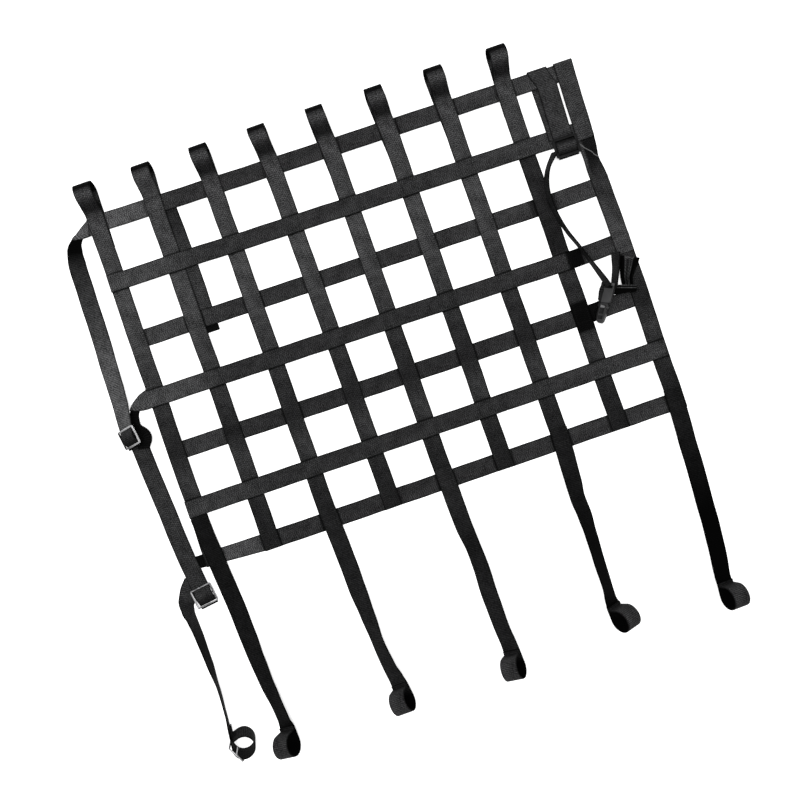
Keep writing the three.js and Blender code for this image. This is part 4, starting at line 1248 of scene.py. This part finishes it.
for k, (x, z, angle) in enumerate(ring):
    before = ring[k - 1]
    around += hypot(x - before[0], z - before[1]) if k else 0
    droop = KEEPER_DROOP * (KEEPER_RIGHT - x) / (KEEPER_RIGHT - KEEPER_LEFT)
    for side, out, tone in KEEPER_SECTION:
        y = side * KEEPER_WIDE - (droop if side < -0.5 else 0)
        out *= KEEPER_THICK
        local = Vector((x + out * cos(angle), y, z + out * sin(angle)))
        points.append(placed(KEEPER_TURN @ local + KEEPER_AT))
        places.append((around * MM, side * KEEPER_WIDE * MM))
        tones.append(tone)
faces = ring_faces([*range(len(ring)), 0], len(KEEPER_SECTION))
cloth_piece("keeper_band", points, faces, places, tones, ribbed_webbing, "black_webbing")

# Stitching: polyester thread that holds the net together. Each crossing is sewn round with a square of black
# stitches, and a slanting line of pale stitch-shaped marks below the flap is a painted highlight along the
# fold in the edge column.
STITCH = namedtuple("STITCH", "long wide high pitch")
SQUARE_STITCH = STITCH(3, 0.8, 0.3, 4)
SQUARE_HALF = 9.2
STITCH_STRAY = 0.2
SEWN_OVER = {0: 2, 1: 2, 3: 2}
# The pale marks that paint a highlight on the edge column's fold, and the line they follow
FOLD_HIGHLIGHT = STITCH(4, 2.2, 0.5, 2.4)
FOLD_LINE = [(-111.4, -12.4), (-136, 12.2)]
FOLD_LINE_STEPS = 8
STITCH_FACES = [(1, 3, 5), (3, 0, 5), (0, 2, 5), (2, 1, 5), (3, 1, 4), (0, 3, 4), (2, 0, 4), (1, 2, 4)]


# A finish for black thread, and for the pale marks of a painted highlight
def thread_and_highlight_finish(name, dark, pale):
    finish, tree = new_finish(name)
    tint = mixed(tree, object_noise(tree, 700.0, 2.0), (dark, dark, dark, 1), (pale, pale, pale, 1))
    surface(tree, tint, 0.6, {"Specular IOR Level": 0.02})
    return finish


# Lays stitch-shaped marks along seams: real stitches, and the pale marks of a painted highlight
def lay_stitches_and_marks(name, seams, stitch, finish):
    chance = random.Random(name)
    points, faces = [], []
    for start, end in seams:
        along = (end - start).normalized()
        aside = Vector((-along.y, along.x, 0)).normalized()
        count = max(1, round((end - start).length / stitch.pitch))
        for k in range(count):
            middle = start.lerp(end, (k + 0.5) / count)
            middle += aside * chance.uniform(-STITCH_STRAY, STITCH_STRAY)
            reach = along * stitch.long / 2
            side = aside * stitch.wide / 2
            rise = Vector((0, 0, stitch.high))
            first = len(points)
            for out in (reach, side, rise):
                points += [placed(middle - out), placed(middle + out)]
            faces += [tuple(first + n for n in face) for face in STITCH_FACES]
    mesh = bpy.data.meshes.new(name)
    mesh.from_pydata(points, [], faces)
    riding_piece(name, mesh, finish, "black_webbing")


seams = []
for column in range(len(COLUMNS)):
    for r, row in enumerate(ROWS):
        y = row_height(r, COLUMNS[column].top)
        layer = max(crossing_layer(column, r), row.layer)
        if column == EDGE:
            y += RIGHT_RISES.get(r, 0)
            layer = SEWN_OVER.get(r, layer)
        elif column == LIFTED_COLUMN and r in LIFTED_ROWS:
            layer = max(layer, row.layer + 1)
        if row is ROWS[-1] and column % 2 == 0:
            layer += 1
        middle = Vector((column_place(column, y), y, middle_of(layer) + WEB_THICK / 2))
        turns = [(-1, -1), (1, -1), (1, 1), (-1, 1)]
        corners = [middle + Vector((x, y, 0)) * SQUARE_HALF for x, y in turns]
        seams += zip(corners, corners[1:] + corners[:1])
lay_stitches_and_marks("crossing_stitches", seams, SQUARE_STITCH, thread_and_highlight_finish("black_thread", 0.001, 0.009))

# Painted highlight: pale marks along the lit fold of the edge column below the flap
edge = route_stations(EDGE_BEHIND)
line = []
for step in range(FOLD_LINE_STEPS + 1):
    y, out = (lerp(a, b, step / FOLD_LINE_STEPS) for a, b in zip(*FOLD_LINE))
    station = min(edge, key=lambda spot: abs(spot.middle.y - y))
    line.append(station.middle + station.across * out + upward(station) * WEB_THICK / 2)
lay_stitches_and_marks("fold_stitches", zip(line, line[1:]), FOLD_HIGHLIGHT, thread_and_highlight_finish("fold_highlight", 0.05, 0.14))
